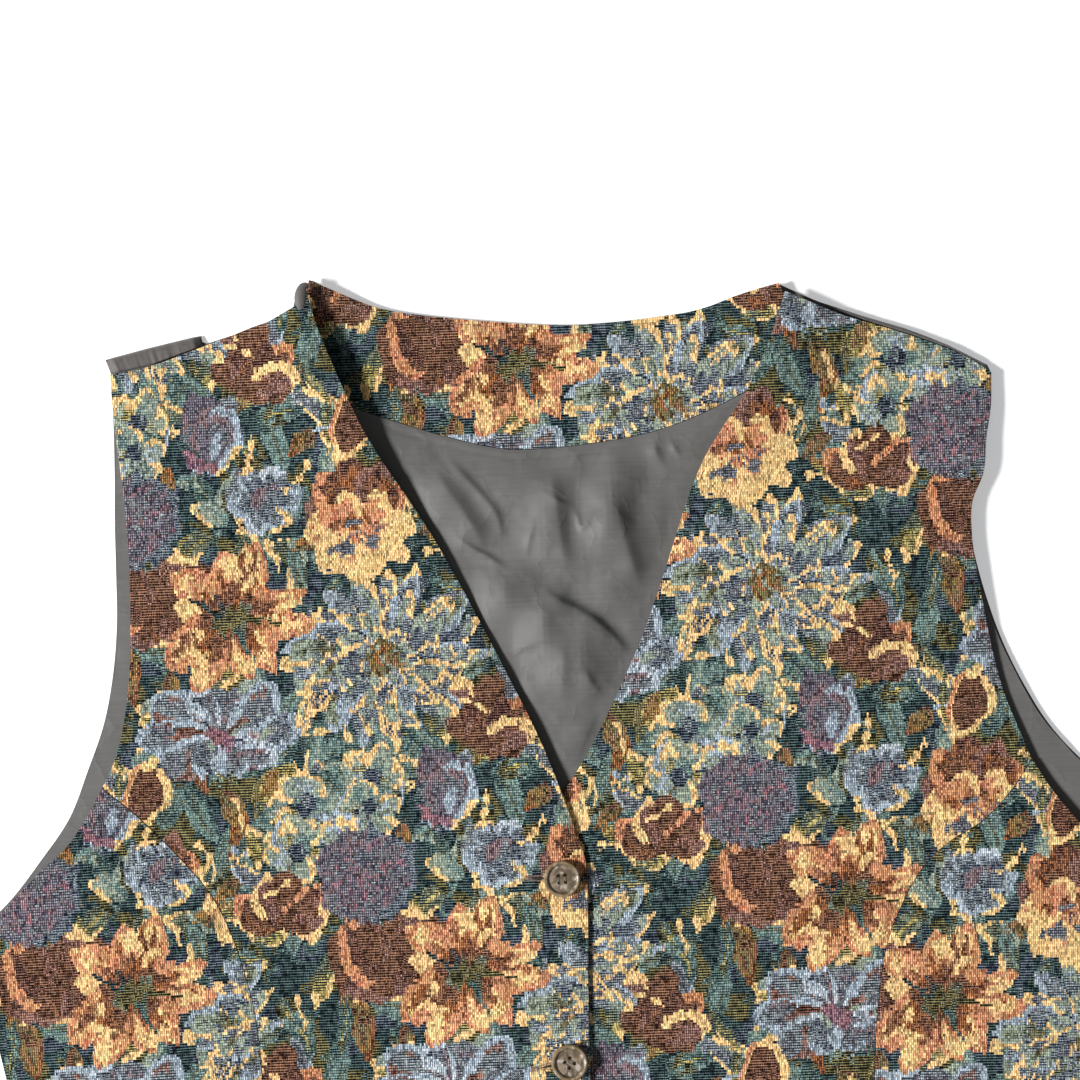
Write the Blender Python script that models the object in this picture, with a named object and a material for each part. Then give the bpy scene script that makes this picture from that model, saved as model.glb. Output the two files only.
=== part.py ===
"""A V-necked waistcoat laid flat on its back, buttoned, front up.

The tables are in millimetres. "Across" runs towards the wearer's left (+X) from the line of
the buttons. "Down" runs from the level of the neck points towards the hem. The model is in
metres, with +Y towards the neck, +Z up out of the front, and its origin on the surface that
the waistcoat lies on, under the middle of its outline.
"""
import math

import bpy
import bmesh
import numpy as np
from mathutils import Matrix

MM = 0.001

# Walls of cloth, and the clearance that touching pieces keep
BACK_WALL = 1.5
LINING_WALL = 1.0
FACING_WALL = 1.2
FRONT_WALL = 2.0
GAP = 0.3
SEAM_SHIFT = 0.3

# Heights of the undersides above the surface, each layer on the one below
LINING_BASE = BACK_WALL + GAP
FRONT_BASE = LINING_BASE + FACING_WALL + GAP
SHOULDER_ROLL = 4.8
SHOULDER_ROLL_EDGE = 3.6
ROLL_CLEARANCE = 0.6
ROLL_STEP = 0.25
NECK_RIM = 1.6
LAP_LIFT = FRONT_WALL + GAP
LAP_RAMP_ACROSS = (-58.0, -27.0)
LAP_RAMP_DOWN = (148.0, 192.0)

# Hem
BACK_HEM = 505.0
TIP_DROP = 3.1
TIP_DROP_DOWN = (507.0, 532.0)
TIP_DROP_ACROSS = (22.0, 46.0)

# Buttons: across, down
BUTTON_PLACES = [(-0.7, 242.9), (-0.5, 317.9), (-0.4, 393.0), (-0.4, 468.0)]
BUTTON_RADIUS = 7.5
BUTTON_THICKNESS = 3.0
BUTTON_RIM = 2.0
BUTTON_DISH = 0.9
BUTTON_LIP = 0.25
BUTTON_ROUNDING = 0.75
BUTTON_FOOT = 2.2
BUTTON_FACETS = 28
HOLE_RADIUS = 0.85
HOLE_PITCH = 2.9
HOLE_FACETS = 8

# Outline of the back, across and down, in smooth runs from the shoulder tip
RIGHT_FOLD = [(-179.5, 24.0), (-168.3, 21.9), (-149.0, 16.4), (-136.0, 16.4), (-122.0, 12.6),
              (-107.5, 6.0), (-101.0, -1.5), (-94.6, -5.3)]
NECK = [(-94.6, -5.3), (-82.5, 0.5), (-66.3, 7.3), (-41.9, 11.9), (0.0, 16.6), (23.6, 16.9),
        (48.3, 15.0), (64.7, 12.7), (81.4, 7.2), (97.1, 3.3)]
LEFT_FOLD = [(97.1, 3.3), (106.0, 7.8), (122.1, 14.9), (138.3, 20.1), (154.5, 26.0),
             (170.6, 33.6), (181.5, 39.8)]
RIGHT_BACK_ARMHOLE = [(-179.2, 29.5), (-177.3, 61.0), (-178.2, 89.0), (-179.3, 137.9),
                      (-183.5, 162.4), (-187.8, 178.7), (-201.4, 211.0)]
RIGHT_BACK_UNDERARM = [(-201.4, 211.0), (-213.0, 226.9), (-229.0, 246.0), (-243.0, 258.0)]
LEFT_BACK_ARMHOLE = [(181.8, 42.2), (178.5, 64.0), (172.0, 86.0), (170.4, 104.0), (172.7, 114.5),
                     (179.9, 143.4), (188.4, 164.6), (199.3, 185.2), (213.4, 202.3)]
LEFT_BACK_UNDERARM = [(213.4, 202.3), (228.0, 215.0), (239.0, 234.0), (243.0, 258.0)]
RIGHT_SIDE = [(-243.0, 258.0), (-229.0, 325.0), (-215.0, 395.0), (-217.0, 450.0), (-226.0, 505.0)]
LEFT_SIDE = [(243.0, 258.0), (229.0, 325.0), (215.0, 395.0), (217.0, 450.0), (226.0, 505.0)]

# Edge of the neck facing: lower edge and its two ends at the shoulders
FACING_LOWER = [(-131.0, 20.6), (-100.0, 37.0), (-72.1, 49.7), (-27.5, 64.4), (0.0, 66.9),
                (44.4, 61.6), (80.2, 47.8), (106.0, 33.5), (128.0, 21.8)]
FACING_RIGHT_END = [(-94.6, -5.3), (-98.8, 6.8), (-107.0, 10.6), (-131.0, 20.6)]
FACING_LEFT_END = [(97.1, 3.3), (101.0, 10.5), (128.0, 21.8)]

# Outlines of the fronts
RIGHT_SHOULDER = [(-177.4, 30.3), (-161.0, 27.5), (-144.0, 22.0), (-122.0, 14.6),
                  (-107.3, 9.0), (-100.5, 5.5), (-96.2, -2.3)]
LEFT_SHOULDER = [(99.5, 7.0), (122.0, 17.2), (138.3, 22.6), (154.5, 28.4), (170.6, 35.2),
                 (182.5, 43.0)]
RIGHT_ARMHOLE = [(-177.4, 30.3), (-176.5, 50.0), (-174.4, 72.5), (-172.6, 105.0),
                 (-173.1, 137.8), (-175.3, 161.8), (-180.2, 184.3), (-187.0, 199.0)]
RIGHT_UNDERARM = [(-187.0, 199.0), (-200.1, 219.9), (-215.4, 233.8), (-231.6, 249.6),
                  (-243.0, 258.0)]
LEFT_ARMHOLE = [(182.5, 43.0), (182.3, 53.0), (178.2, 76.0), (177.2, 87.0), (173.0, 94.0),
                (171.9, 107.8), (174.6, 131.4), (181.4, 169.4), (193.0, 201.5)]
LEFT_UNDERARM = [(193.0, 201.5), (199.1, 212.0), (212.3, 229.3), (228.0, 246.0), (243.0, 258.0)]
RIGHT_EDGE = [(-96.2, -2.3), (-92.0, 13.7), (-81.3, 41.8), (-70.6, 64.6), (-44.9, 107.4),
              (-14.0, 171.4), (-3.5, 196.8), (7.2, 229.5), (9.5, 243.7), (8.4, 284.0),
              (7.7, 324.0), (7.7, 420.0), (8.5, 498.0)]
LEFT_EDGE = [(99.5, 7.0), (93.5, 23.3), (82.8, 45.8), (61.8, 77.9), (44.5, 123.6),
             (32.9, 152.2), (12.6, 191.3), (1.9, 206.5), (-6.5, 224.0), (-9.5, 243.7),
             (-9.6, 330.0), (-9.6, 420.0), (-9.0, 498.0)]
RIGHT_PRINCESS = [(-187.0, 199.0), (-171.9, 212.1), (-152.2, 233.4), (-140.4, 251.0),
                  (-131.9, 275.6), (-127.3, 299.4), (-125.8, 330.0), (-123.5, 400.0),
                  (-127.0, 531.0)]
LEFT_PRINCESS = [(193.0, 201.5), (176.5, 222.4), (155.5, 235.7), (144.1, 247.9), (132.2, 270.9),
                 (126.9, 295.8), (123.7, 330.0), (121.5, 400.0), (125.0, 531.0)]
RIGHT_TIP = (-48.0, 552.0)
LEFT_TIP = (48.0, 552.0)

# How far each neck edge stands off what it lies on: down, lift, reach across the cloth
RIGHT_EDGE_LIFT = [(-5.0, 5.0, 26.0), (15.0, 6.8, 30.0), (45.0, 7.0, 32.0), (65.0, 5.4, 32.0),
                   (86.0, 2.6, 30.0), (110.0, 0.9, 28.0), (145.0, 0.3, 26.0), (180.0, 0.0, 26.0)]
LEFT_EDGE_LIFT = [(0.0, 3.4, 26.0), (20.0, 4.4, 30.0), (50.0, 4.0, 30.0), (80.0, 2.0, 28.0),
                  (120.0, 0.8, 26.0), (160.0, 0.2, 26.0), (185.0, 0.0, 26.0)]

# Soft swells where the fronts don't lie quite flat: across, down, height, reach
FRONT_SWELLS = [(-128.0, 96.0, 1.6, 34.0), (-92.0, 190.0, 1.2, 42.0), (-160.0, 300.0, 1.4, 40.0),
                (-70.0, 340.0, 1.0, 44.0), (-178.0, 425.0, 1.5, 42.0), (-66.0, 465.0, 1.3, 40.0),
                (138.0, 112.0, 1.9, 34.0), (96.0, 205.0, 1.3, 42.0), (170.0, 296.0, 1.6, 40.0),
                (74.0, 350.0, 1.1, 42.0), (176.0, 430.0, 1.4, 42.0), (70.0, 470.0, 1.4, 40.0),
                (172.0, 76.0, 2.4, 17.0), (201.0, 232.0, 1.8, 30.0), (-204.0, 244.0, 1.6, 30.0)]
SWELLS_FROM_LAP = (10.0, 45.0)

# Billow of the lining inside the V neck, and its largest folds.
# A fold has a height, which is negative for a trough, a half-width, and its line.
LINING_BILLOW = 3.2
LINING_MARGIN = 24.0
LINING_CLEAR_OF_EDGE = 2.0
LINING_INSET = 1.0
LINING_SHOULDER_INSET = (2.5, 3.0)
LINING_SEAM_GAP = 0.4
LINING_HEM_RISE = 6.0
NECKPOINT_LIFT = 3.2
NECKPOINT_REACH = 20.0
LINING_FOLDS = [(-2.6, 9.0, [(-42.0, 76.0), (-20.0, 97.0)]),
                (-2.9, 8.0, [(-35.0, 106.0), (-9.0, 118.0), (16.0, 136.0), (34.0, 156.0)]),
                (3.4, 8.5, [(-30.0, 122.0), (0.0, 140.0), (18.0, 168.0)]),
                (-2.6, 7.5, [(7.0, 72.0), (8.0, 92.0), (16.0, 118.0)]),
                (3.2, 8.5, [(24.0, 84.0), (28.0, 108.0)]),
                (-2.8, 8.0, [(46.0, 66.0), (38.0, 88.0), (44.0, 112.0)])]

# Cells of the panels, from the shoulder to the hem and across
FRONT_COLUMNS = 11
ARMHOLE_ROWS = 12
SEAM_ROWS = 22
TIP_COLUMNS = (6, 5)
SIDE_COLUMNS = 6
BACK_COLUMNS = (5, 12, 5)
BACK_ROWS = (9, 3, 9)
LINING_COLUMNS = (3, 20, 3)
LINING_ROWS = (21, 4, 8)
FACING_ROWS = 5
SAMPLES_PER_RUN = 24

# Colours: red, green, blue, then roughness
TAPESTRY = (0.205, 0.185, 0.145, 0.92)
SATIN = (0.105, 0.098, 0.092, 0.42)
LINING_SATIN = (0.135, 0.130, 0.122, 0.38)
HORN = (0.190, 0.135, 0.098, 0.34)


def clear_scene():
    """Remove whatever the scene holds."""
    for old in list(bpy.data.objects):
        bpy.data.objects.remove(old, do_unlink=True)


def smooth(value, low, high):
    """Ease from 0 at low to 1 at high."""
    t = min(max((value - low) / (high - low), 0.0), 1.0)
    return t * t * (3.0 - 2.0 * t)


def smooth_curve(points):
    """A dense Catmull-Rom curve through the points."""
    p = np.array(points, dtype=float)
    p = np.vstack([2.0 * p[0] - p[1], p, 2.0 * p[-1] - p[-2]])
    steps = np.linspace(0.0, 1.0, SAMPLES_PER_RUN, endpoint=False)[:, None]
    runs = []
    for a, b, c, d in zip(p[:-3], p[1:-2], p[2:-1], p[3:]):
        runs.append(0.5 * (2.0 * b + (c - a) * steps + (2.0 * a - 5.0 * b + 4.0 * c - d) * steps ** 2
                           + (3.0 * b - a - 3.0 * c + d) * steps ** 3))
    runs.append(p[-2][None, :])
    return np.vstack(runs)


def even_points(points, cells):
    """Points at even steps along the smooth curve through a run."""
    dense = smooth_curve(points)
    steps = np.hypot(*np.diff(dense, axis=0).T)
    travelled = np.concatenate([[0.0], np.cumsum(steps)])
    wanted = np.linspace(0.0, travelled[-1], cells + 1)
    return np.column_stack([np.interp(wanted, travelled, dense[:, 0]),
                            np.interp(wanted, travelled, dense[:, 1])])


def joined(*runs):
    """One edge made of runs that meet end to end at corners."""
    return np.vstack([run if i == 0 else run[1:] for i, run in enumerate(runs)])


def fill_grid(top, bottom, left, right):
    """A grid of points between four edges that meet at their ends."""
    rows, columns = len(left), len(top)
    v = np.linspace(0.0, 1.0, rows)[:, None, None]
    u = np.linspace(0.0, 1.0, columns)[None, :, None]
    corners = ((1 - v) * (1 - u) * top[0] + (1 - v) * u * top[-1]
               + v * (1 - u) * bottom[0] + v * u * bottom[-1])
    return (1 - v) * top[None] + v * bottom[None] + (1 - u) * left[:, None] + u * right[:, None] - corners


def edge_function(points):
    """The across place of an edge at each level down."""
    dense = smooth_curve(points)
    return lambda down: float(np.interp(down, dense[:, 1], dense[:, 0]))


def table_at(table, down):
    """Height and reach of a table's rows at one level down."""
    levels, heights, reaches = zip(*table)
    return np.interp(down, levels, heights), np.interp(down, levels, reaches)


right_edge_at = edge_function(RIGHT_EDGE)
left_edge_at = edge_function(LEFT_EDGE)


facing_curve = smooth_curve(FACING_LOWER)


def swells(across, down):
    """Lift of the soft swells of the fronts, none where the fronts lap."""
    lift = 0.0
    for x, y, height, reach in FRONT_SWELLS:
        lift += height * math.exp(-((across - x) ** 2 + (down - y) ** 2) / reach ** 2)
    return lift * smooth(abs(across), *SWELLS_FROM_LAP)


def tip_drop(across, down):
    """How far the front tips settle below the layers, past the hem of the back."""
    return TIP_DROP * smooth(down, *TIP_DROP_DOWN) * smooth(abs(across), *TIP_DROP_ACROSS)


def right_front_underside(across, down):
    """Height of the right front's underside."""
    lift, reach = table_at(RIGHT_EDGE_LIFT, down)
    neck = lift * math.exp(-((right_edge_at(down) - across) / reach) ** 2)
    lap = LAP_LIFT * smooth(across, *LAP_RAMP_ACROSS) * smooth(down, *LAP_RAMP_DOWN)
    return FRONT_BASE + neck + lap + swells(across, down) - tip_drop(across, down)


def left_front_underside(across, down):
    """Height of the left front's underside."""
    lift, reach = table_at(LEFT_EDGE_LIFT, down)
    neck = lift * math.exp(-((across - left_edge_at(down)) / reach) ** 2)
    return FRONT_BASE + neck + swells(across, down) - tip_drop(across, down)


def facing_underside(across, down):
    """The facing climbs to the neck points, where the shoulder seams stand up."""
    lift = 0.0
    for x, y in (NECK[0], NECK[-1]):
        lift += NECKPOINT_LIFT * math.exp(-((across - x) ** 2 + (down - y) ** 2) / NECKPOINT_REACH ** 2)
    return LINING_BASE + lift


def distance_to_line(across, down, line):
    """Shortest distance from a place to a line of points."""
    place = np.array((across, down))
    nearest = math.inf
    for start, end in zip(line[:-1], line[1:]):
        a = np.array(start)
        run = np.array(end) - a
        t = min(max(float((place - a) @ run / (run @ run)), 0.0), 1.0)
        nearest = min(nearest, float(np.hypot(*(place - a - t * run))))
    return nearest


def lining_underside(across, down):
    """The lining billows inside the V neck and lies flat under the fronts."""
    inside = min(across - right_edge_at(down), left_edge_at(down) - across)
    below_seam = down - float(np.interp(across, facing_curve[:, 0], facing_curve[:, 1]))
    open_area = smooth(inside, LINING_CLEAR_OF_EDGE, LINING_MARGIN) * smooth(below_seam, 0.0, LINING_MARGIN)
    lift = LINING_BILLOW
    for height, width, line in LINING_FOLDS:
        lift += height * math.exp(-(distance_to_line(across, down, line) / width) ** 2)
    return LINING_BASE + open_area * max(lift, 0.0)


def heights(grid, underside):
    """The underside's height at each point of a grid."""
    return np.array([[underside(across, down) for across, down in row] for row in grid])


def to_model(across, down, height):
    """A place in the tables as a place in the model."""
    middle = 0.5 * (RIGHT_TIP[1] + NECK[0][1])
    return across * MM, (middle - down) * MM, height * MM


def make_material(name, colour, roughness):
    """A Principled material of one colour."""
    material = bpy.data.materials.new(name)
    material.use_nodes = True
    shader = material.node_tree.nodes["Principled BSDF"]
    shader.inputs["Base Color"].default_value = (*colour, 1.0)
    shader.inputs["Roughness"].default_value = roughness
    shader.inputs["Metallic"].default_value = 0.0
    return material


def add_object(name, bm, material):
    """Turn a bmesh into a smooth shaded object."""
    mesh = bpy.data.meshes.new(name)
    bm.to_mesh(mesh)
    bm.free()
    mesh.materials.append(material)
    mesh.shade_smooth()
    mesh.set_sharp_from_angle(angle=math.radians(35.0))
    obj = bpy.data.objects.new(name, mesh)
    bpy.context.scene.collection.objects.link(obj)
    return obj


def add_panel(name, grid, low, high, material):
    """A closed wall of cloth: a grid laid on its underside and extruded to its face."""
    rows, columns = grid.shape[0] - 1, grid.shape[1] - 1
    bm = bmesh.new()
    bmesh.ops.create_grid(bm, x_segments=columns, y_segments=rows, size=0.5)
    cell_of = {}
    for vert in bm.verts:
        cell = (round((0.5 - vert.co.y) * rows), round((vert.co.x + 0.5) * columns))
        vert.co = to_model(*grid[cell], low[cell])
        cell_of[vert] = cell
    places = {tuple(vert.co): cell for vert, cell in cell_of.items()}
    raised = bmesh.ops.extrude_face_region(bm, geom=bm.faces[:])["geom"]
    for vert in [item for item in raised if isinstance(item, bmesh.types.BMVert)]:
        vert.co.z = high[places[tuple(vert.co)]] * MM
    bmesh.ops.recalc_face_normals(bm, faces=bm.faces)
    return add_object(name, bm, material)


def add_wall(name, grid, underside, wall, material):
    """A panel of one thickness over its underside."""
    low = heights(grid, underside)
    return add_panel(name, grid, low, low + wall, material)


def back_grid():
    """The back, with two narrow rows where its shoulder edge rolls over to the front."""
    right, middle, left = BACK_COLUMNS
    fold = joined(even_points(RIGHT_FOLD, right), even_points(NECK, middle), even_points(LEFT_FOLD, left))
    neck_inside = [(x, y + NECK_RIM + ROLL_CLEARANCE) for x, y in NECK]
    neck_inside[0] = RIGHT_SHOULDER[-1]
    neck_inside[-1] = LEFT_SHOULDER[0]
    seam = joined(even_points(RIGHT_SHOULDER, right), even_points(neck_inside, middle),
                  even_points(LEFT_SHOULDER, left))
    rim = seam - (0.0, ROLL_CLEARANCE)
    step = rim + (0.0, ROLL_STEP)
    armhole, underarm, side = BACK_ROWS
    right_edge = joined(even_points([tuple(step[0])] + RIGHT_BACK_ARMHOLE[1:], armhole),
                        even_points(RIGHT_BACK_UNDERARM, underarm), even_points(RIGHT_SIDE, side))
    left_edge = joined(even_points([tuple(step[-1])] + LEFT_BACK_ARMHOLE[1:], armhole),
                       even_points(LEFT_BACK_UNDERARM, underarm), even_points(LEFT_SIDE, side))
    hem = even_points([RIGHT_SIDE[-1], (0.0, BACK_HEM), LEFT_SIDE[-1]], sum(BACK_COLUMNS))
    body = fill_grid(step, hem, right_edge, left_edge)
    return np.concatenate([fold[None], rim[None], body])


def make_back(material):
    """The satin back, flat underneath, raised only where it rolls over the shoulders."""
    grid = back_grid()
    low = np.zeros(grid.shape[:2])
    high = np.full(grid.shape[:2], BACK_WALL)
    right, middle, left = BACK_COLUMNS
    rolled = list(range(right)) + list(range(right + middle + 1, right + middle + left + 1))
    high[0, rolled] = SHOULDER_ROLL_EDGE
    high[1, rolled] = SHOULDER_ROLL
    add_panel("back", grid, low, high, material)


def make_facing(material):
    """The strip of tapestry inside the back neck."""
    columns = LINING_COLUMNS[1]
    grid = fill_grid(even_points(NECK, columns), even_points(FACING_LOWER, columns),
                     even_points(FACING_RIGHT_END, FACING_ROWS), even_points(FACING_LEFT_END, FACING_ROWS))
    add_wall("back_neck_facing", grid, facing_underside, FACING_WALL, material)


def make_lining(material):
    """The satin lining of the back, from the facing to just above the hem."""
    right, middle, left = LINING_COLUMNS
    inset = LINING_INSET
    in_from_tip, below_tip = LINING_SHOULDER_INSET
    start = (RIGHT_BACK_ARMHOLE[0][0] + in_from_tip, RIGHT_BACK_ARMHOLE[0][1] + below_tip)
    end = (LEFT_BACK_ARMHOLE[0][0] - in_from_tip, LEFT_BACK_ARMHOLE[0][1] + below_tip)
    seam = even_points(FACING_LOWER, middle) + (0.0, LINING_SEAM_GAP)
    top = joined(even_points([start, tuple(seam[0])], right), seam, even_points([tuple(seam[-1]), end], left))
    armhole, underarm, side = LINING_ROWS
    edges = []
    halves = ((1.0, start, RIGHT_BACK_ARMHOLE, RIGHT_BACK_UNDERARM, RIGHT_SIDE),
              (-1.0, end, LEFT_BACK_ARMHOLE, LEFT_BACK_UNDERARM, LEFT_SIDE))
    for sign, first, upper, lower, seam_line in halves:
        inner = [first] + [(x + sign * inset, y) for x, y in upper[1:]]
        under = [(x + sign * inset, y) for x, y in lower]
        down_side = [(x + sign * inset, y) for x, y in seam_line[:-1]]
        down_side.append((seam_line[-1][0] + sign * inset, BACK_HEM - LINING_HEM_RISE))
        edges.append(joined(even_points(inner, armhole), even_points(under, underarm),
                            even_points(down_side, side)))
    bottom = even_points([tuple(edges[0][-1]), tuple(edges[1][-1])], sum(LINING_COLUMNS))
    add_wall("back_lining", fill_grid(top, bottom, *edges), lining_underside, LINING_WALL, material)


def make_front(name, shoulder, armhole, princess, edge, tip, underside, material):
    """A centre panel: shoulder, armhole and princess seam outside, neck and button edge inside."""
    outer = joined(even_points(armhole, ARMHOLE_ROWS), even_points(princess, SEAM_ROWS))
    inner = even_points(edge, ARMHOLE_ROWS + SEAM_ROWS)
    top = even_points(shoulder, FRONT_COLUMNS)
    hem = joined(even_points([princess[-1], tip], TIP_COLUMNS[0]), even_points([tip, edge[-1]], TIP_COLUMNS[1]))
    add_wall(name, fill_grid(top, hem, outer, inner), underside, FRONT_WALL, material)


def make_side(name, underarm, princess, side, shift, underside, material):
    """A side panel, between the princess seam and the side seam."""
    inner = even_points(princess, SEAM_ROWS) + (shift, SEAM_SHIFT)
    outer = even_points(side, SEAM_ROWS)
    top = even_points([tuple(inner[0])] + underarm[1:], SIDE_COLUMNS)
    hem = even_points([tuple(inner[-1]), side[-1]], SIDE_COLUMNS)
    add_wall(name, fill_grid(top, hem, inner, outer), underside, FRONT_WALL, material)


def button_profile():
    """Half of the button's section, from the middle of its face to the middle of its back."""
    top, outer, rounding = BUTTON_THICKNESS, BUTTON_RADIUS, BUTTON_ROUNDING
    inner = outer - BUTTON_RIM
    return [(0.0, top - BUTTON_DISH), (inner - rounding, top - BUTTON_DISH), (inner, top - BUTTON_LIP),
            (inner + rounding, top), (outer - rounding, top), (outer, top - rounding),
            (outer - BUTTON_LIP, rounding), (outer - BUTTON_FOOT, 0.0), (0.0, 0.0)]


def make_button(name, place, seat, material):
    """A turned button with four holes, lying on the right front."""
    bm = bmesh.new()
    verts = [bm.verts.new((radius * MM, 0.0, height * MM)) for radius, height in button_profile()]
    edges = [bm.edges.new(pair) for pair in zip(verts[:-1], verts[1:])]
    bmesh.ops.spin(bm, geom=verts + edges, cent=(0, 0, 0), axis=(0, 0, 1), angle=math.tau,
                   steps=BUTTON_FACETS, use_merge=True, use_duplicate=False)
    bmesh.ops.remove_doubles(bm, verts=bm.verts, dist=0.01 * MM)
    bmesh.ops.recalc_face_normals(bm, faces=bm.faces)
    x, y, z = to_model(*place, seat)
    button = add_object(name, bm, material)
    button.location = (x, y, z)
    for number, (across, along) in enumerate([(-1, -1), (1, -1), (-1, 1), (1, 1)]):
        cutter_mesh = bmesh.new()
        offset = Matrix.Translation((across * HOLE_PITCH * MM / 2, along * HOLE_PITCH * MM / 2,
                                     BUTTON_THICKNESS * MM / 2))
        bmesh.ops.create_cone(cutter_mesh, cap_ends=True, segments=HOLE_FACETS, radius1=HOLE_RADIUS * MM,
                              radius2=HOLE_RADIUS * MM, depth=3.0 * BUTTON_THICKNESS * MM, matrix=offset)
        cutter = add_object(f"{name}_hole_cutter_{number + 1}", cutter_mesh, material)
        cutter.parent = button
        cutter.hide_render = True
        cutter.display_type = 'WIRE'
        cut = button.modifiers.new(f"hole_{number + 1}", 'BOOLEAN')
        cut.operation = 'DIFFERENCE'
        cut.solver = 'EXACT'
        cut.object = cutter


def main():
    clear_scene()
    tapestry = make_material("tapestry", TAPESTRY[:3], TAPESTRY[3])
    satin = make_material("satin", SATIN[:3], SATIN[3])
    lining = make_material("lining_satin", LINING_SATIN[:3], LINING_SATIN[3])
    horn = make_material("horn", HORN[:3], HORN[3])
    make_back(satin)
    make_facing(tapestry)
    make_lining(lining)
    make_front("front_left", LEFT_SHOULDER[::-1], LEFT_ARMHOLE, LEFT_PRINCESS, LEFT_EDGE, LEFT_TIP,
               left_front_underside, tapestry)
    make_side("front_left_side", LEFT_UNDERARM, LEFT_PRINCESS, LEFT_SIDE, SEAM_SHIFT,
              left_front_underside, tapestry)
    make_front("front_right", RIGHT_SHOULDER, RIGHT_ARMHOLE, RIGHT_PRINCESS, RIGHT_EDGE, RIGHT_TIP,
               right_front_underside, tapestry)
    make_side("front_right_side", RIGHT_UNDERARM, RIGHT_PRINCESS, RIGHT_SIDE, -SEAM_SHIFT,
              right_front_underside, tapestry)
    for number, place in enumerate(BUTTON_PLACES, start=1):
        seat = right_front_underside(*place) + FRONT_WALL + GAP
        make_button(f"button_{number}", place, seat, horn)


main()
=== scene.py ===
"""A floral tapestry waistcoat with a satin back, laid flat and buttoned, seen from above."""
import math

import bpy
import bmesh
import numpy as np
from bpy.props import FloatProperty, FloatVectorProperty, PointerProperty
from bpy.types import Operator, Panel, PropertyGroup
from mathutils import Matrix, Vector
from mathutils.bvhtree import BVHTree
from mathutils.kdtree import KDTree


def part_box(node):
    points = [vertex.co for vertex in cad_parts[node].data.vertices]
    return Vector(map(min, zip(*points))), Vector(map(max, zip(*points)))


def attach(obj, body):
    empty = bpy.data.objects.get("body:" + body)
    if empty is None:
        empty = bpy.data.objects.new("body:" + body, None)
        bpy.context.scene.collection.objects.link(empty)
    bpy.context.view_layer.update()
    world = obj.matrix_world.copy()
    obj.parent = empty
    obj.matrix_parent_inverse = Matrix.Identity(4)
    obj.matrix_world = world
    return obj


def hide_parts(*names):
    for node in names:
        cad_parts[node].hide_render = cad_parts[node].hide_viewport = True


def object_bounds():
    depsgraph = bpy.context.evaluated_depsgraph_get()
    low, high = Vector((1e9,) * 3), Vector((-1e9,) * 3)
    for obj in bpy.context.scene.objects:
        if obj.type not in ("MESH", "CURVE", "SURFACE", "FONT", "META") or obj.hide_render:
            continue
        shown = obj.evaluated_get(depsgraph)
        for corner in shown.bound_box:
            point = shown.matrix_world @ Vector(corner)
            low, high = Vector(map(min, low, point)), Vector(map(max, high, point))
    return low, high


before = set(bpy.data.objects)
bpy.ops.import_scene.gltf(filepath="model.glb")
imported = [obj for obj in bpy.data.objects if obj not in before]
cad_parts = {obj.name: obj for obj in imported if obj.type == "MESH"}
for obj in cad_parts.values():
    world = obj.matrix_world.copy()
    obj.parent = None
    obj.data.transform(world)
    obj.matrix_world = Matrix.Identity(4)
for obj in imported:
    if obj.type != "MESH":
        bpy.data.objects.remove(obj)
cad_low, cad_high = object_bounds()

bl_info = {
    "name": "Tapestry Waistcoat",
    "version": (1, 0, 0),
    "blender": (4, 5, 0),
    "location": "3D View > Sidebar > Waistcoat",
    "description": "Builds a floral tapestry waistcoat laid flat, with its satin lining and buttons",
    "category": "Object",
}

MM = 0.001
BODY = "root"

# Level of the neck points in the plan, from which places on the garment are counted down
NECK_LEVEL = cad_high.y / MM - 5.3
BUTTONS = tuple(sorted(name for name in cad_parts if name.startswith("button_")))
CORNER_TURN = 32.0

# Where each tapestry piece was cut from the cloth: across, down, turn in degrees
CUTS = {
    "front_left": (157.0, -25.0, 0.0),
    "front_left_side": (20.0, 15.0, -1.5),
    "front_right": (0.0, 0.0, 0.0),
    "front_right_side": (37.0, -2.5, 1.5),
    "back_neck_facing": (120.0, -100.0, 0.0),
}

# Small relief of the tapestry in millimetres, and its turned edge: outwards, down, cloth used
UNDULATION = 0.35
EDGE_ROUNDING = 0.35
EDGE_TURN = ((0.12, 0.45, 0.5), (0.1, 1.1, 1.1), (-0.35, 1.55, 1.8), (-6.0, 1.6, 7.0))

# The satin: its cells, the height of the back's upper face, the lining's lowest height, how much both
# round off at the edge, and their turned edges, as above
SATIN_CELL = 3.0
BACK_FACE = 1.35
LINING_FLOOR = 1.9
SATIN_ROUNDING = 0.3
BACK_EDGE_TURN = ((0.0, 0.5, 0.5), (-0.15, 0.9, 0.9), (-0.8, 1.04, 1.6))
LINING_EDGE_TURN = ((0.05, 0.3, 0.3), (-0.1, 0.7, 0.8))
ARMHOLE_STITCH = 3.2
ARMHOLE_STITCH_DEPTH = 0.25

# Section of the shoulder roll, from its fold to the seam: share across, height. The solid's own rows
# for it lie above the first of two levels, its outer row below the second and its inner row above it.
ROLL_SECTION = ((0.02, 0.15), (-0.02, 1.6), (0.06, 3.1), (0.3, 4.3), (0.65, 4.75), (0.95, 4.6), (1.0, 3.2),
                (0.98, 1.6))
ROLL_LEVELS = (3.0, 4.2)
ROLL_STATIONS = 90

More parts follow.
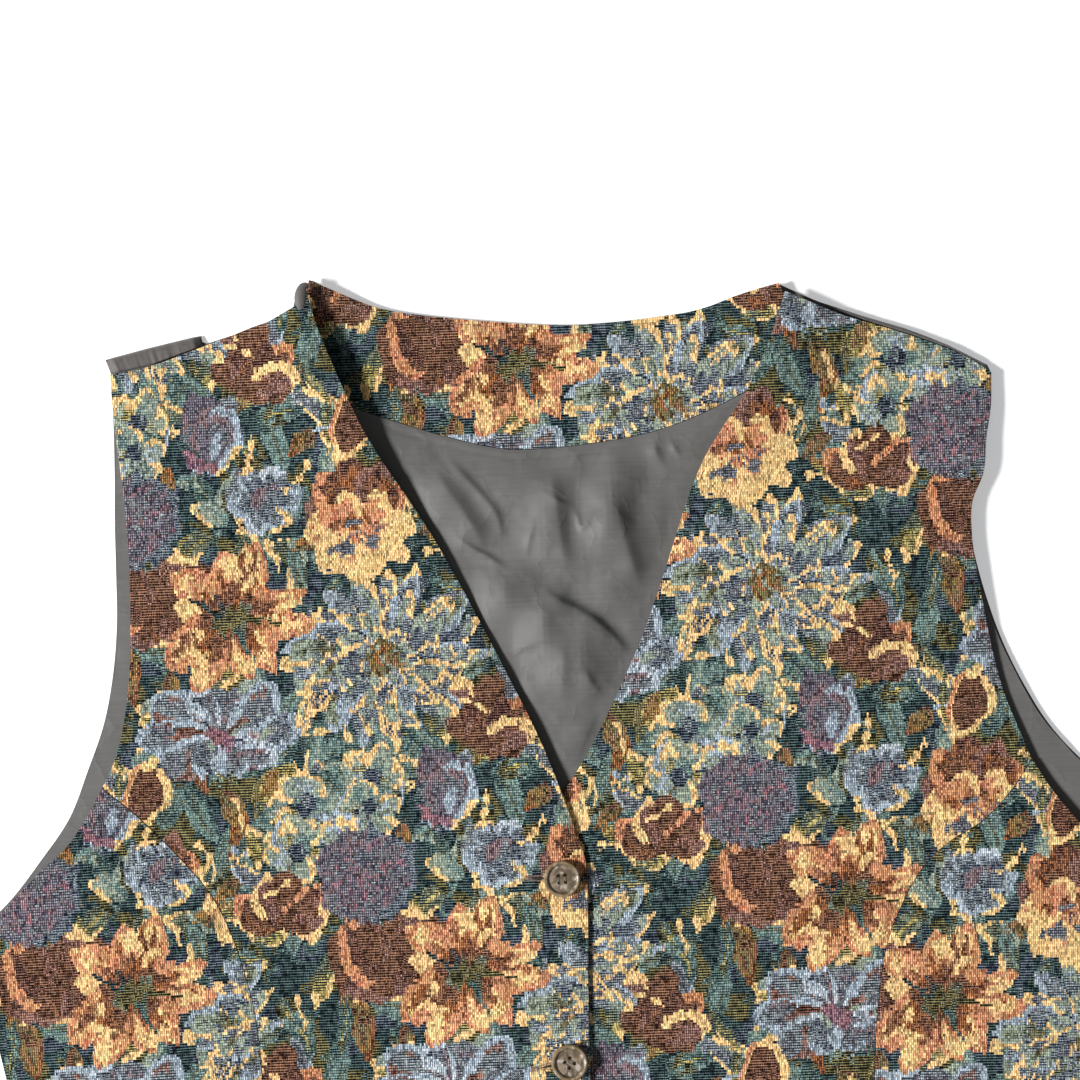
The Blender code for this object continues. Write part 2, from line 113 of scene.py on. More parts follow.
# Creases of the lining: height, half-width on the left and on the right, and the line across and down
CREASES = (
    (2.3, 11.0, 4.6, ((-48, 72), (-42, 82), (-34, 94), (-27, 108))),
    (1.0, 4.0, 1.6, ((-41, 70), (-32, 80), (-22, 93), (-20, 105))),
    (1.2, 2.6, 1.1, ((-39, 102), (-32, 107), (-25, 111), (-18, 116))),
    (1.5, 7.0, 2.2, ((-5, 124), (3, 130), (12, 135), (21, 142), (32, 155))),
    (-1.0, 3.0, 7.0, ((3, 127), (15, 134), (28, 146))),
    (2.2, 10.0, 5.0, ((0, 75), (2, 87), (4, 104), (6, 120))),
    (0.9, 1.6, 0.9, ((-2, 85), (4, 89), (10, 91))),
    (0.8, 1.2, 1.2, ((10, 91), (13, 100), (19, 93))),
    (2.2, 10.0, 5.0, ((26, 88), (29, 101), (32, 113), (36, 126))),
    (1.3, 4.0, 2.0, ((46, 62), (44, 69), (48, 77))),
    (0.9, 1.4, 0.9, ((50, 64), (52, 69), (55, 74))),
    (1.4, 8.0, 4.0, ((3, 145), (3, 157), (1, 172))),
    (0.9, 4.0, 1.6, ((10, 155), (14, 163), (19, 170))),
    (0.8, 5.0, 2.0, ((16, 175), (11, 186), (6, 198))),
    (0.6, 1.6, 1.0, ((-6, 67), (-10, 71), (-11, 75))),
    (0.6, 1.6, 1.0, ((16, 67), (12, 71), (9, 75))),
    (0.5, 1.4, 0.9, ((22, 66), (20, 71), (17, 74))),
    (0.8, 2.6, 1.3, ((-47, 102), (-42, 113), (-38, 123))),
    (0.7, 3.0, 1.5, ((-19, 150), (-13, 148), (-4, 146))),
    (0.6, 2.0, 1.2, ((-6, 95), (-9, 105), (-10, 112))),
)
LINING_WINDOW = ((-92.0, 40.0), (84.0, 226.0))

# Edge of the shoulder beside the right neck point, and the fold of satin round that point: across, down
SHOULDER_LINE = ((-140.0, 19.5), (-122.8, 14.6), (-111.7, 11.4), (-100.9, 5.7), (-100.7, 1.5),
                 (-100.2, -2.0), (-98.4, -4.2), (-94.8, -5.5))
NECK_FOLD = ((-98.2, 8.0), (-98.2, 4.5), (-97.9, 1.0), (-97.0, -2.0), (-95.0, -3.4))

# The neck fold's half-width, rise and sink, and the step to where the tapestry's height is read
NECK_FOLD_HALF = 2.6
NECK_FOLD_RISE = 1.8
NECK_FOLD_SINK = 1.2
NECK_FOLD_PROBE = (1.0, -1.5)

# Share of each shoulder, from its sleeve end or its neck end, along which the roll shows
ROLL_SHARE = {-1: 0.55, 1: 1.0}

# Section of a button from its back to the middle of its face: share of radius, share of height
BUTTON_SECTION = ((0.55, 0.0), (0.82, 0.04), (0.96, 0.28), (1.0, 0.55), (0.985, 0.82), (0.93, 0.98),
                  (0.86, 0.99), (0.8, 0.9), (0.765, 0.72), (0.72, 0.64), (0.62, 0.66), (0.46, 0.66))
BUTTON_TURNS = {"button_1": 4.0, "button_2": 38.0, "button_3": -12.0, "button_4": 20.0}
HOLE_CORNERS = ((-1, -1), (1, -1), (-1, 1), (1, 1))
HOLE_PITCH = 2.75
HOLE_RADIUS = 0.82
HOLE_DEPTH = 1.2

# Each buttonhole: its reach from the button's middle, and its tilt in degrees
BUTTONHOLES = {
    "button_1": (14.0, -3.0),
    "button_2": (15.0, 9.0),
    "button_3": (13.5, 2.0),
    "button_4": (14.0, -2.0),
}
HOLE_STITCHES = 30
HOLE_PAST_BUTTON = 3.0
SLIT_HALF = 0.12
SLIT_OPENING = 0.75
PURL_DEPTH = 0.95
PURL_WIDTH = 0.42
TACK_WIDTH = 0.36
TACK_HALF = 1.1
STITCH_WIDTH = 0.34
THREAD_TWIST = 0.0004

# The horn, in millimetres from the button's middle: where the clear rim begins and is full, the groove
#  inside it and the half-width of the shade painted in it, and the pitch of the turning marks
HORN_RIM = (5.9, 6.7)
HORN_GROOVE = 5.75
HORN_GROOVE_SHADE_HALF = 0.55
HORN_TURNING = 0.32

# Light and camera
FRAME_MIDDLE = (-4.4, 104.5)
KEY_WAY = (-0.8, -0.12, 0.66)
KEY_DISTANCE = 7.0
KEY_SIZE = 1.5
CAMERA_TURN = -2.2
DAYLIGHT = (0.97, 0.985, 1.0, 1.0)
FLOOR_HALF = 12.0
FLOOR_GLOW = 0.38

# The half-drop repeat of the tapestry, in millimetres and in cells; two cells share a face of the cloth
REPEAT = (181.0, 296.0)
CELLS = (424, 270)
CELL = (REPEAT[0] / CELLS[0], REPEAT[1] / CELLS[1])
PAIR = 2
FACE = (PAIR * CELL[0], CELL[1])
FLOAT = 5

# Yarns of each weave: main colour, line colour (sRGB 0-255), rib line strength, warp line strength
WEAVES = {
    "ground": ((4, 13, 22), (118, 144, 140), 0.56, 0.04),
    "ground_olive": ((6, 14, 18), (184, 172, 114), 0.56, 0.04),
    "ground_navy": ((6, 12, 28), (144, 158, 168), 0.56, 0.04),
    "teal": ((136, 160, 150), (14, 34, 44), 0.8, 0.6),
    "teal_mid": ((112, 136, 128), (6, 18, 28), 1.0, 0.55),
    "teal_olive": ((142, 148, 122), (8, 20, 26), 1.0, 0.55),
    "sage": ((166, 174, 152), (52, 70, 76), 0.65, 0.6),
    "moss": ((146, 132, 90), (20, 24, 26), 0.55, 0.95),
    "olive": ((186, 170, 104), (9, 22, 30), 1.0, 0.3),
    "cream": ((236, 206, 148), (166, 122, 74), 0.4, 0.75),
    "peach": ((224, 172, 126), (128, 62, 46), 0.45, 0.95),
    "rust": ((184, 124, 84), (38, 18, 20), 0.6, 1.0),
    "ochre": ((188, 148, 96), (42, 28, 26), 0.6, 1.0),
    "brown_rib": ((26, 9, 13), (190, 142, 112), 0.58, 0.1),
    "brown": ((154, 112, 96), (20, 8, 12), 1.0, 0.75),
    "rose_brown": ((182, 140, 124), (44, 20, 24), 0.8, 0.9),
    "purple": ((142, 134, 142), (36, 34, 48), 0.75, 1.0),
    "mauve": ((168, 142, 142), (40, 32, 46), 0.6, 1.0),
    "rose": ((186, 138, 140), (54, 40, 60), 0.6, 1.0),
    "light_blue": ((184, 197, 204), (54, 66, 86), 0.5, 0.8),
    "blue_grey": ((166, 174, 176), (14, 24, 40), 0.95, 0.6),
    "blue_rib": ((14, 24, 48), (164, 174, 176), 0.62, 0.12),
    "slate": ((154, 156, 160), (18, 26, 40), 0.9, 0.8),
    "white_blue": ((206, 213, 217), (84, 96, 114), 0.45, 0.8),
}
CODE = {name: number for number, name in enumerate(WEAVES)}


# The tapestry chart

class Chart:
    """The half-drop repeat as a grid of weave codes, drawn in millimetres, x right and y down."""

    def __init__(self):
        columns, rows = CELLS
        self.x, self.y = np.meshgrid((np.arange(columns) + 0.5) * CELL[0], (np.arange(rows) + 0.5) * CELL[1])
        self.code = np.full((rows, columns), CODE["ground"], dtype=np.int16)
        self.noises = {}
        self.grain = np.random.default_rng(5).uniform(-1, 1, (rows, columns))
        self.sway_x = 1.5 * self.noise(11.0, 41) + 0.8 * self.noise(4.5, 42)
        self.sway_y = 1.5 * self.noise(11.0, 43) + 0.8 * self.noise(4.5, 44)

    def noise(self, size, key=0):
        """Smooth noise from -1 to 1 with features of one size, the same in both drops."""
        if (size, key) not in self.noises:
            across = max(2, round(REPEAT[0] / size))
            down = max(2, round(REPEAT[1] / 2 / size))
            lattice = np.random.default_rng(1000 + 31 * key + int(size * 10)).uniform(-1, 1, (down, across))
            drop = self.y / (REPEAT[1] / 2)
            u = self.x / REPEAT[0] * across - (np.floor(drop) % 2) * across / 2
            v = (drop % 1.0) * down
            self.noises[(size, key)] = smooth_lattice(lattice, u, v)
        return self.noises[(size, key)]

    def around(self, x, y, turn=0.0):
        """For each copy of a place, the swaying local coordinates about it, turned."""
        for drop in (0, 1):
            across, down = x + drop * REPEAT[0] / 2, y + drop * REPEAT[1] / 2
            dx = (self.x + self.sway_x - across + REPEAT[0] / 2) % REPEAT[0] - REPEAT[0] / 2
            dy = (self.y + self.sway_y - down + REPEAT[1] / 2) % REPEAT[1] - REPEAT[1] / 2
            c, s = math.cos(math.radians(turn)), math.sin(math.radians(turn))
            yield dx * c + dy * s, dy * c - dx * s

    def put(self, mask, weave):
        self.code[mask] = CODE[weave]

    def tones(self, mask, tone, weaves):
        """Lay weaves by tone: each takes what is below its limit."""
        for weave, limit in weaves:
            self.put(mask & (tone < limit), weave)

    def woven(self):
        """The codes with some short floats shifted by a row, so that edges interlock."""
        rows, columns = self.code.shape
        random = np.random.default_rng(9)
        runs = random.choice((-1, 0, 1), p=(0.1, 0.8, 0.1), size=(rows, columns // FLOAT + 2))
        starts = random.integers(0, FLOAT, (rows, 1))
        column = np.arange(columns)[None, :]
        shift = np.take_along_axis(runs, (column + starts) // FLOAT, axis=1)
        return self.code[(np.arange(rows)[:, None] + shift) % rows, column]


def smooth_lattice(lattice, u, v):
    """Smooth interpolation of a wrapped lattice of numbers."""
    rows, columns = lattice.shape
    i, j = np.floor(v).astype(int), np.floor(u).astype(int)
    fv, fu = v - i, u - j
    fv, fu = fv * fv * (3 - 2 * fv), fu * fu * (3 - 2 * fu)

    def at(row, column):
        return lattice[row % rows, column % columns]

    upper = at(i, j) * (1 - fu) + at(i, j + 1) * fu
    lower = at(i + 1, j) * (1 - fu) + at(i + 1, j + 1) * fu
    return upper * (1 - fv) + lower * fv


def petal(u, v, angle, start, length, width, blunt=0.5, bend=0.0):
    """Place along (0 to 1) and across (-1 to 1) a petal that leaves the middle at an angle."""
    c, s = math.cos(math.radians(angle)), math.sin(math.radians(angle))
    along = (u * c + v * s - start) / length
    across = v * c - u * s + bend * length * along * np.abs(along)
    inside = np.clip(along, 0.0, 1.0)
    half = 0.5 * width * np.sin(math.pi * inside ** blunt) ** 0.7 + 1e-6
    t = across / half
    return along, t, (along > 0) & (along < 1) & (np.abs(t) < 1)


def streaks(along, t, count, seed):
    """Uneven streaks along a petal, from -1 to 1."""
    lattice = np.random.default_rng(seed).uniform(-1, 1, (6, 14))
    return smooth_lattice(lattice, t * count + 7.0, along * 2.6 + 2.0)


def paint_petal(chart, place, shape, weaves, seed, rim=None, dark=None, ragged=0.65):
    """One petal: streaked tones from its foot to its tip, a broken pale rim, and a dark edge opposite."""
    x, y, turn = place
    angle, start, length, width, blunt, bend = shape
    fine = ragged * chart.noise(2.0, 61 + seed % 5)
    rough = ragged * chart.noise(4.0, 71 + seed % 3)
    specks = ragged * (0.12 * chart.noise(1.5, 83) + 0.13 * chart.grain)
    for u, v in chart.around(x, y, turn):
        s, t, inside = petal(u, v, angle, start, length, width, blunt, bend)
        inside &= np.abs(t) < 0.96 + 0.22 * fine
        tone = s + 0.42 * streaks(s, t, 2.6, 17 * seed + 3) + 0.14 * fine + specks
        chart.tones(inside, tone, weaves)
        if dark is not None:
            side = 1 if seed % 2 else -1
            chart.put(inside & (t * side < -0.7 + 0.2 * rough) & (s < 0.92), dark)
        if rim is not None:
            side = -1 if seed % 2 else 1
            edge = (t * side > 0.5 + 0.3 * rough) & (s > 0.3) | (s > 0.84 + 0.1 * rough)
            chart.put(inside & edge & (fine + 2.0 * specks > -0.55), rim)


def lily(chart, x, y, turn, size=1.0, seed=1):
    """A large open flower of broad cream petals, peach and rust towards the middle."""
    petals = ((188, 22, 15, 0), (222, 29, 17, 1), (262, 27, 13, 0), (296, 31, 14, 2), (338, 28, 13, 1),
              (12, 32, 12, 0), (47, 26, 14, 2), (82, 24, 15, 1), (116, 31, 17, 0), (152, 30, 18, 2))
    tones = ((("cream", 9.0), ("peach", 0.5), ("rust", 0.34), ("brown", 0.12)),
             (("cream", 9.0), ("peach", 0.72), ("rust", 0.46), ("brown_rib", 0.2)),
             (("peach", 9.0), ("cream", 0.8), ("rust", 0.5), ("brown_rib", 0.26)))
    for number in (1, 3, 6, 8, 0, 4, 9, 2, 7, 5):
        angle, length, width, kind = petals[number]
        shape = (angle, 3.0 * size, length * size, width * size * 1.12, 0.78, 0.1 if number % 2 else -0.08)
        rim = (None, "cream", "peach")[(number + kind) % 3]
        paint_petal(chart, (x, y, turn), shape, tones[kind], seed + number, rim,
                    (None, "brown_rib", "ground", None)[number % 4])
    wobble = chart.noise(2.6, seed)
    for u, v in chart.around(x, y, turn):
        radius = np.hypot(u, v * 1.2) + 2.4 * wobble
        chart.put(radius < 8.5 * size, "teal_olive")
        chart.put(radius < 6.4 * size, "ground_olive")
        chart.put((radius < 7.0 * size) & (chart.noise(2.0, 66) > 0.35), "moss")
        for angle, weave in ((205, "ground"), (285, "rust"), (8, "ground_olive"), (62, "teal_mid"),
                             (98, "rust")):
            chart.put(petal(u, v, angle, 4.0 * size, 17.0 * size, 2.6 * size, 0.5)[2], weave)


def chrysanthemum(chart, x, y, turn, seed=2):
    """A wide flower of many striped petals: sage and blue grey, with cream and pale blue tips."""
    stripes = ((("sage", 9.0), ("blue_grey", 0.62), ("blue_rib", 0.4)),
               (("blue_grey", 9.0), ("sage", 0.8), ("blue_rib", 0.5)),
               (("light_blue", 9.0), ("blue_grey", 0.85), ("blue_rib", 0.55)),
               (("sage", 9.0), ("teal_olive", 0.55), ("moss", 0.3)),
               (("slate", 9.0), ("cream", 0.7), ("blue_rib", 0.5)))
    rings = ((43.0, 27, 21.0, 10.0), (34.0, 24, 19.0, 8.0), (25.5, 18, 16.0, 7.5), (17.5, 12, 13.0, 7.0),
             (11.0, 8, 9.0, 6.5))
    for ring, (radius, count, length, width) in enumerate(rings):
        for number in range(count):
            angle = 360.0 * (number + 0.5 * (ring % 2)) / count + 8.0 * math.sin(number * 2.3 + ring)
            squash = 1.0 - 0.2 * abs(math.sin(math.radians(angle)))
            reach = radius * squash * (1.0 + 0.09 * math.sin(number * 1.7 + ring * 2.0))
            pick = (number * 3 + ring * 2) % 5
            rim = ("cream", "light_blue", "cream", "cream", None)[(number + ring) % 5]
            dark = ("ground_navy", None, "blue_rib")[number % 3]
            paint_petal(chart, (x, y, turn), (angle, reach - length, length, width, 1.15, 0.22),
                        stripes[pick], seed * 40 + ring * 23 + number, rim, dark, 0.35)
    for u, v in chart.around(x, y, turn):
        core = np.hypot(u / 1.3, v) + 1.8 * chart.noise(2.6, 9)
        chart.put(core < 6.5, "moss")
        chart.put((core < 9.5) & (chart.noise(2.4, 9) > 0.3), "sage")
        chart.put((core < 7.5) & (chart.noise(2.4, 10) > 0.45), "ochre")
        chart.put((core < 4.5) & (chart.noise(2.0, 11) > 0.25), "rust")


def peony(chart, x, y, turn, seed=3):
    """A full round flower: brown crown, peach and cream bowl petals and shaded hollows."""
    cap = (("brown", 9.0), ("rust", 0.75), ("brown_rib", 0.4))
    blush = (("cream", 9.0), ("peach", 0.8), ("rust", 0.32))
    pale = (("cream", 9.0), ("peach", 0.42), ("slate", 0.2))
    for number, (angle, reach, width, weaves) in enumerate((
            (200, 23, 17, cap), (232, 25, 18, cap), (268, 25, 17, cap), (302, 24, 17, cap),
            (334, 22, 15, cap), (10, 23, 17, pale), (170, 23, 17, blush), (45, 24, 17, pale),
            (135, 24, 18, pale), (92, 25, 20, pale))):
        rim = "cream" if weaves is not cap else ("rose_brown", "peach", None)[number % 3]
        paint_petal(chart, (x, y, turn), (angle, 1.0, reach, width, 1.3, 0.08), weaves,
                    seed * 30 + number, rim, "brown_rib" if weaves is cap else None)
    for number, (dx, dy, angle, reach, width, weaves) in enumerate((
            (0, 3, 250, 16, 15, blush), (-5, 1, 205, 14, 13, blush), (5, 2, 300, 15, 13, blush),
            (7, 5, 350, 12, 11, pale), (-4, 6, 120, 13, 15, pale), (5, 7, 60, 13, 13, pale))):
        paint_petal(chart, (x + dx, y + dy, turn), (angle, 0.0, reach, width, 1.2, 0.1), weaves,
                    seed * 50 + number, "cream")
    for u, v in chart.around(x, y, turn):
        for dx, dy, wide, high in ((-6.0, 10.5, 6.5, 2.6), (6.5, 7.5, 5.5, 2.4), (0.0, -1.0, 4.0, 1.8)):
            hollow = np.hypot((u - dx) / wide, (v - dy - 0.2 * np.abs(u - dx)) / high)
            chart.put(hollow + 0.45 * chart.noise(2.6, 31) < 0.85, "slate")


def tulip(chart, x, y, turn, seed=4):
    """A purple cup of a flower with a pale blue inner edge and a cream lip."""
    cup = (("purple", 9.0), ("mauve", 0.55), ("slate", 0.3))
    heart = (("mauve", 9.0), ("slate", 0.62), ("purple", 0.3))
    for number, (angle, start, reach, width, weaves, rim) in enumerate((
            (-118, -6, 26, 15, cup, None), (-62, -5, 25, 15, cup, "blue_grey"),
            (-90, -12, 31, 21, cup, None), (-70, -9, 24, 14, heart, "light_blue"),
            (-105, -13, 25, 15, heart, None))):
        paint_petal(chart, (x, y, turn), (angle, start, reach, width, 0.85, 0.05), weaves,
                    seed * 20 + number, rim)
    for u, v in chart.around(x, y, turn):
        rough = 0.12 * chart.noise(2.6, 33)
        outer, inner = np.hypot(u / 13.0, v / 16.5) + rough, np.hypot((u + 3.0) / 11.5, (v + 1.0) / 15.0)
        chart.put((outer < 0.98) & (inner > 1.0) & (v > -12), "light_blue")
        chart.put((outer > 0.86) & (outer < 1.02) & (u > 4.0) & (v > 2.0), "cream")
        chart.put((outer < 0.95) & (outer > 0.62) & (v > 7.0) & (u < 4.0), "rose")
        chart.put((np.hypot((u - 2) / 3.0, (v - 4) / 6.5) + 2 * rough < 0.8), "light_blue")


def ball(chart, x, y, turn, seed=6):
    """A round clustered flower in purple with specks of rose and pale blue."""
    wobble, speck, dots = chart.noise(4.0, seed), chart.noise(1.6, seed + 1), chart.noise(1.3, seed + 2)
    for u, v in chart.around(x, y, turn):
        radius = np.hypot(u / 1.12, v) + 1.8 * wobble
        body = radius < 19.0
        chart.put(body, "purple")
        chart.put(body & (speck > 0.25), "slate")
        chart.put(body & (dots > 0.42), "mauve")
        chart.put(body & (radius < 15.5) & (speck < -0.55), "rose")
        chart.put(body & (radius > 15.5) & (u > 0), "blue_rib")
        chart.put(body & (dots < -0.66), "blue_grey")


def petunia(chart, x, y, turn, seed=8):
    """A small dark-throated flower with a ragged pale ring."""
    lobes = (("light_blue", 9.0), ("blue_grey", 0.7), ("blue_rib", 0.5))
    for number in range(6):
        angle = 60 * number + 10 * math.sin(number * 2.0)
        rim = ("light_blue", "cream", "white_blue")[number % 3]
        paint_petal(chart, (x, y, turn), (angle, 1.0, 14.5, 13.0, 1.3, 0.1), lobes, seed * 10 + number, rim)
    for u, v in chart.around(x, y, turn):
        radius = np.hypot(u, v) + 1.6 * chart.noise(2.4, 35)
        chart.put(radius < 7.6, "blue_rib")
        chart.put((radius < 6.0) & (u + v < 1), "mauve")
        chart.put((radius < 3.4) & (u > -1), "blue_grey")


def bud(chart, x, y, turn, size=1.0, fill="brown_rib", rim="cream"):
    """An oval bud: a pale outline round a ribbed middle."""
    for u, v in chart.around(x, y, turn):
        egg = np.hypot(u / (9.0 - 0.16 * v), v / 14.5) / size
        chart.put(egg < 1.0, rim)
        chart.put(egg < 0.76, fill)
        chart.put((egg < 0.72) & (chart.noise(2.0, 37) > 0.4), "brown")
        chart.put((egg > 0.8) & (egg < 1.0) & (u < -5 * size), "peach")


def rosette(chart, x, y, turn, seed=9, size=1.0):
    """A loose wide flower: blue grey folds, thin pale strokes and a rose blush."""
    folds = ((("blue_grey", 9.0), ("slate", 0.85), ("mauve", 0.6), ("blue_rib", 0.42), ("slate", 0.25)),
             (("slate", 9.0), ("blue_grey", 0.8), ("rose_brown", 0.5), ("brown", 0.3)),
             (("blue_grey", 9.0), ("blue_rib", 0.8), ("slate", 0.6), ("sage", 0.4), ("rose", 0.16)))
    for number, (angle, start, reach, width) in enumerate((
            (185, 2, 32, 22), (215, 3, 33, 20), (250, 2, 25, 20), (290, 1, 24, 20), (325, 3, 31, 19),
            (355, 2, 34, 20), (28, 1, 27, 18), (150, 1, 30, 20), (118, 0, 22, 18), (65, 0, 22, 18))):
        squash = 1.0 - 0.2 * abs(math.sin(math.radians(angle)))
        rim = ("light_blue", "light_blue", "white_blue", None)[number % 4]
        shape = (angle, start * size, reach * size * squash, width * size, 1.25, 0.16)
        paint_petal(chart, (x, y, turn), shape, folds[number % 3], seed * 25 + number, rim,
                    ("blue_rib", None)[number % 2])
    for number, (angle, start, reach, width) in enumerate((
            (200, 4, 22, 3.4), (170, 5, 20, 3.0), (235, 5, 17, 3.2), (310, 4, 18, 3.2), (345, 6, 21, 3.4),
            (15, 5, 17, 3.0), (270, 4, 13, 3.0), (95, 3, 12, 3.0))):
        paint_petal(chart, (x, y, turn), (angle, start * size, reach * size, width * size, 0.8, 0.3),
                    (("light_blue", 9.0), ("white_blue", 0.3)), seed * 33 + number)
    for u, v in chart.around(x, y, turn):
        chart.put(np.hypot(u / 1.4, v) + 1.8 * chart.noise(2.4, 39) < 3.6 * size, "rose")


def primrose(chart, x, y, turn, size=13.0, seed=11):
    """A small five-petalled flower: sage petals with cream edges round a dark eye."""
    fills = ((("sage", 9.0), ("teal", 0.45)), (("sage", 9.0), ("light_blue", 0.6), ("sage", 0.4)),
             (("cream", 9.0), ("sage", 0.72), ("olive", 0.3)))
    for number in range(5):
        angle = 72.0 * number + 14.0 * math.sin(number * 2.7 + seed)
        rim = ("cream", "cream", "light_blue", "cream", "cream")[(number + seed) % 5]
        paint_petal(chart, (x, y, turn), (angle, 0.5, size, size * 0.95, 1.35, 0.1),
                    fills[(number + seed) % 3], seed * 7 + number, rim)
    for u, v in chart.around(x, y, turn):
        eye = np.hypot(u, v) + 1.4 * chart.noise(2.2, 45)
        chart.put(eye < 3.6, "ground_navy")
        chart.put((eye < 4.6) & (chart.noise(1.6, 46) > 0.45), "blue_grey")


def shell(chart, x, y, turn, size=24.0, lobes=5, seed=12):
    """A fan of ribbed brown lobes with peach and cream edges."""
    fills = ((("brown", 9.0), ("brown_rib", 0.66), ("rust", 0.2)), (("rose_brown", 9.0), ("brown_rib", 0.6)),
             (("brown_rib", 9.0), ("brown", 0.5), ("rose_brown", 0.3)))
    for number in range(lobes):
        spread = number - (lobes - 1) / 2
        angle = -90.0 + 36.0 * spread + 6.0 * math.sin(number * 2.9 + seed)
        shape = (angle, -1.0, size * (1 - 0.06 * abs(spread)), size * 0.62, 1.2, 0.08 * spread)
        pick = (number + seed) % 3
        paint_petal(chart, (x, y, turn), shape, fills[pick], seed * 9 + number,
                    ("peach", "cream", None)[pick], "brown_rib")


LEAF_WEAVES = (
    ((("teal", 9.0), ("teal_mid", 0.3)), "teal_olive"),
    ((("teal_mid", 9.0), ("teal", 0.5), ("ground_olive", 0.2)), "olive"),
    ((("sage", 9.0), ("teal", 0.45)), "cream"),
    ((("moss", 9.0), ("olive", 0.6), ("ochre", 0.25)), "ochre"),
    ((("olive", 9.0), ("teal_olive", 0.5)), "cream"),
    ((("rust", 9.0), ("ochre", 0.7), ("moss", 0.35), ("brown_rib", 0.15)), "moss"),
    ((("teal_olive", 9.0), ("teal", 0.5)), "cream"),
    ((("slate", 9.0), ("blue_grey", 0.5)), "cream"),
)


def leaf(chart, x, y, turn, length=26.0, width=11.0, kind=0, seed=0):
    """A pointed leaf with streaked halves, a midrib and a broken edge."""
    weaves, rib = LEAF_WEAVES[kind]
    shape = (0.0, -length / 2, length, width, 0.85, 0.14 if seed % 2 else -0.14)
    paint_petal(chart, (x, y, turn), shape, weaves, 300 + seed, "cream" if rib == "cream" else None,
                ("ground", "teal_mid", None)[seed % 3])
    for u, v in chart.around(x, y, turn):
        s, t, inside = petal(u, v, *shape)
        midrib = inside & (np.abs(t + 0.1) < 0.13) & (s > 0.1) & (s < 0.85)
        chart.put(midrib, rib if rib != "cream" else weaves[0][0])


def sprig(chart, x, y, turn, length, weave="cream"):
    """A thin curved stroke, as on a tendril or a turned leaf edge."""
    for u, v in chart.around(x, y, turn):
        bow = v - 0.03 * (u - length * 0.4) * u
        chart.put((u > 0) & (u < length) & (np.abs(bow) < 0.9 + 0.6 * np.sin(u * 0.9)), weave)


# Leaves of one drop: across, down, turn, length, width, kind
LEAVES = (
    (-111, 60, 62, 28, 11, 0), (-96, 46, 20, 26, 11, 2), (-118, 104, 100, 26, 12, 1),
    (-95, 106, 30, 24, 11, 6), (-104, 116, 75, 22, 10, 6), (-148, 104, 140, 24, 12, 4),
    (-150, 36, 25, 26, 11, 1), (-58, 64, 70, 28, 11, 0), (-48, 84, 120, 28, 12, 6),
    (-40, 104, 35, 26, 12, 3), (-20, 110, 80, 28, 12, 0), (-10, 132, 120, 26, 11, 4),
    (-100, 186, 78, 30, 10, 0), (-90, 190, 98, 32, 10, 0), (-80, 188, 86, 30, 9, 0),
    (-70, 192, 74, 30, 11, 2), (-60, 190, 110, 26, 10, 0), (-120, 172, 35, 22, 10, 5),
    (-20, 152, 60, 28, 12, 1), (-50, 182, 130, 24, 11, 4), (-4, 166, 100, 24, 10, 0),
    (-26, 42, 45, 28, 12, 4), (-176, 152, 60, 28, 12, 5), (-160, 146, 20, 26, 11, 6),
    (-104, 150, 90, 22, 10, 0), (-70, 34, 160, 26, 12, 4), (-52, 48, 200, 22, 10, 1),
    (-128, 82, 100, 24, 9, 7), (-138, 84, 60, 26, 10, 0), (-90, 72, 100, 24, 10, 2),
    (-42, 66, 60, 26, 12, 5), (-30, 60, 110, 30, 14, 3), (-36, 74, 150, 30, 13, 5),
    (-56, 40, 100, 28, 12, 5), (-16, 96, 10, 26, 12, 6), (-172, 112, 40, 24, 11, 0),
    (-8, 44, 95, 24, 10, 2), (-120, 40, 150, 26, 11, 3), (-106, 90, 130, 22, 9, 0),
    (-64, 196, 20, 24, 10, 6),
)


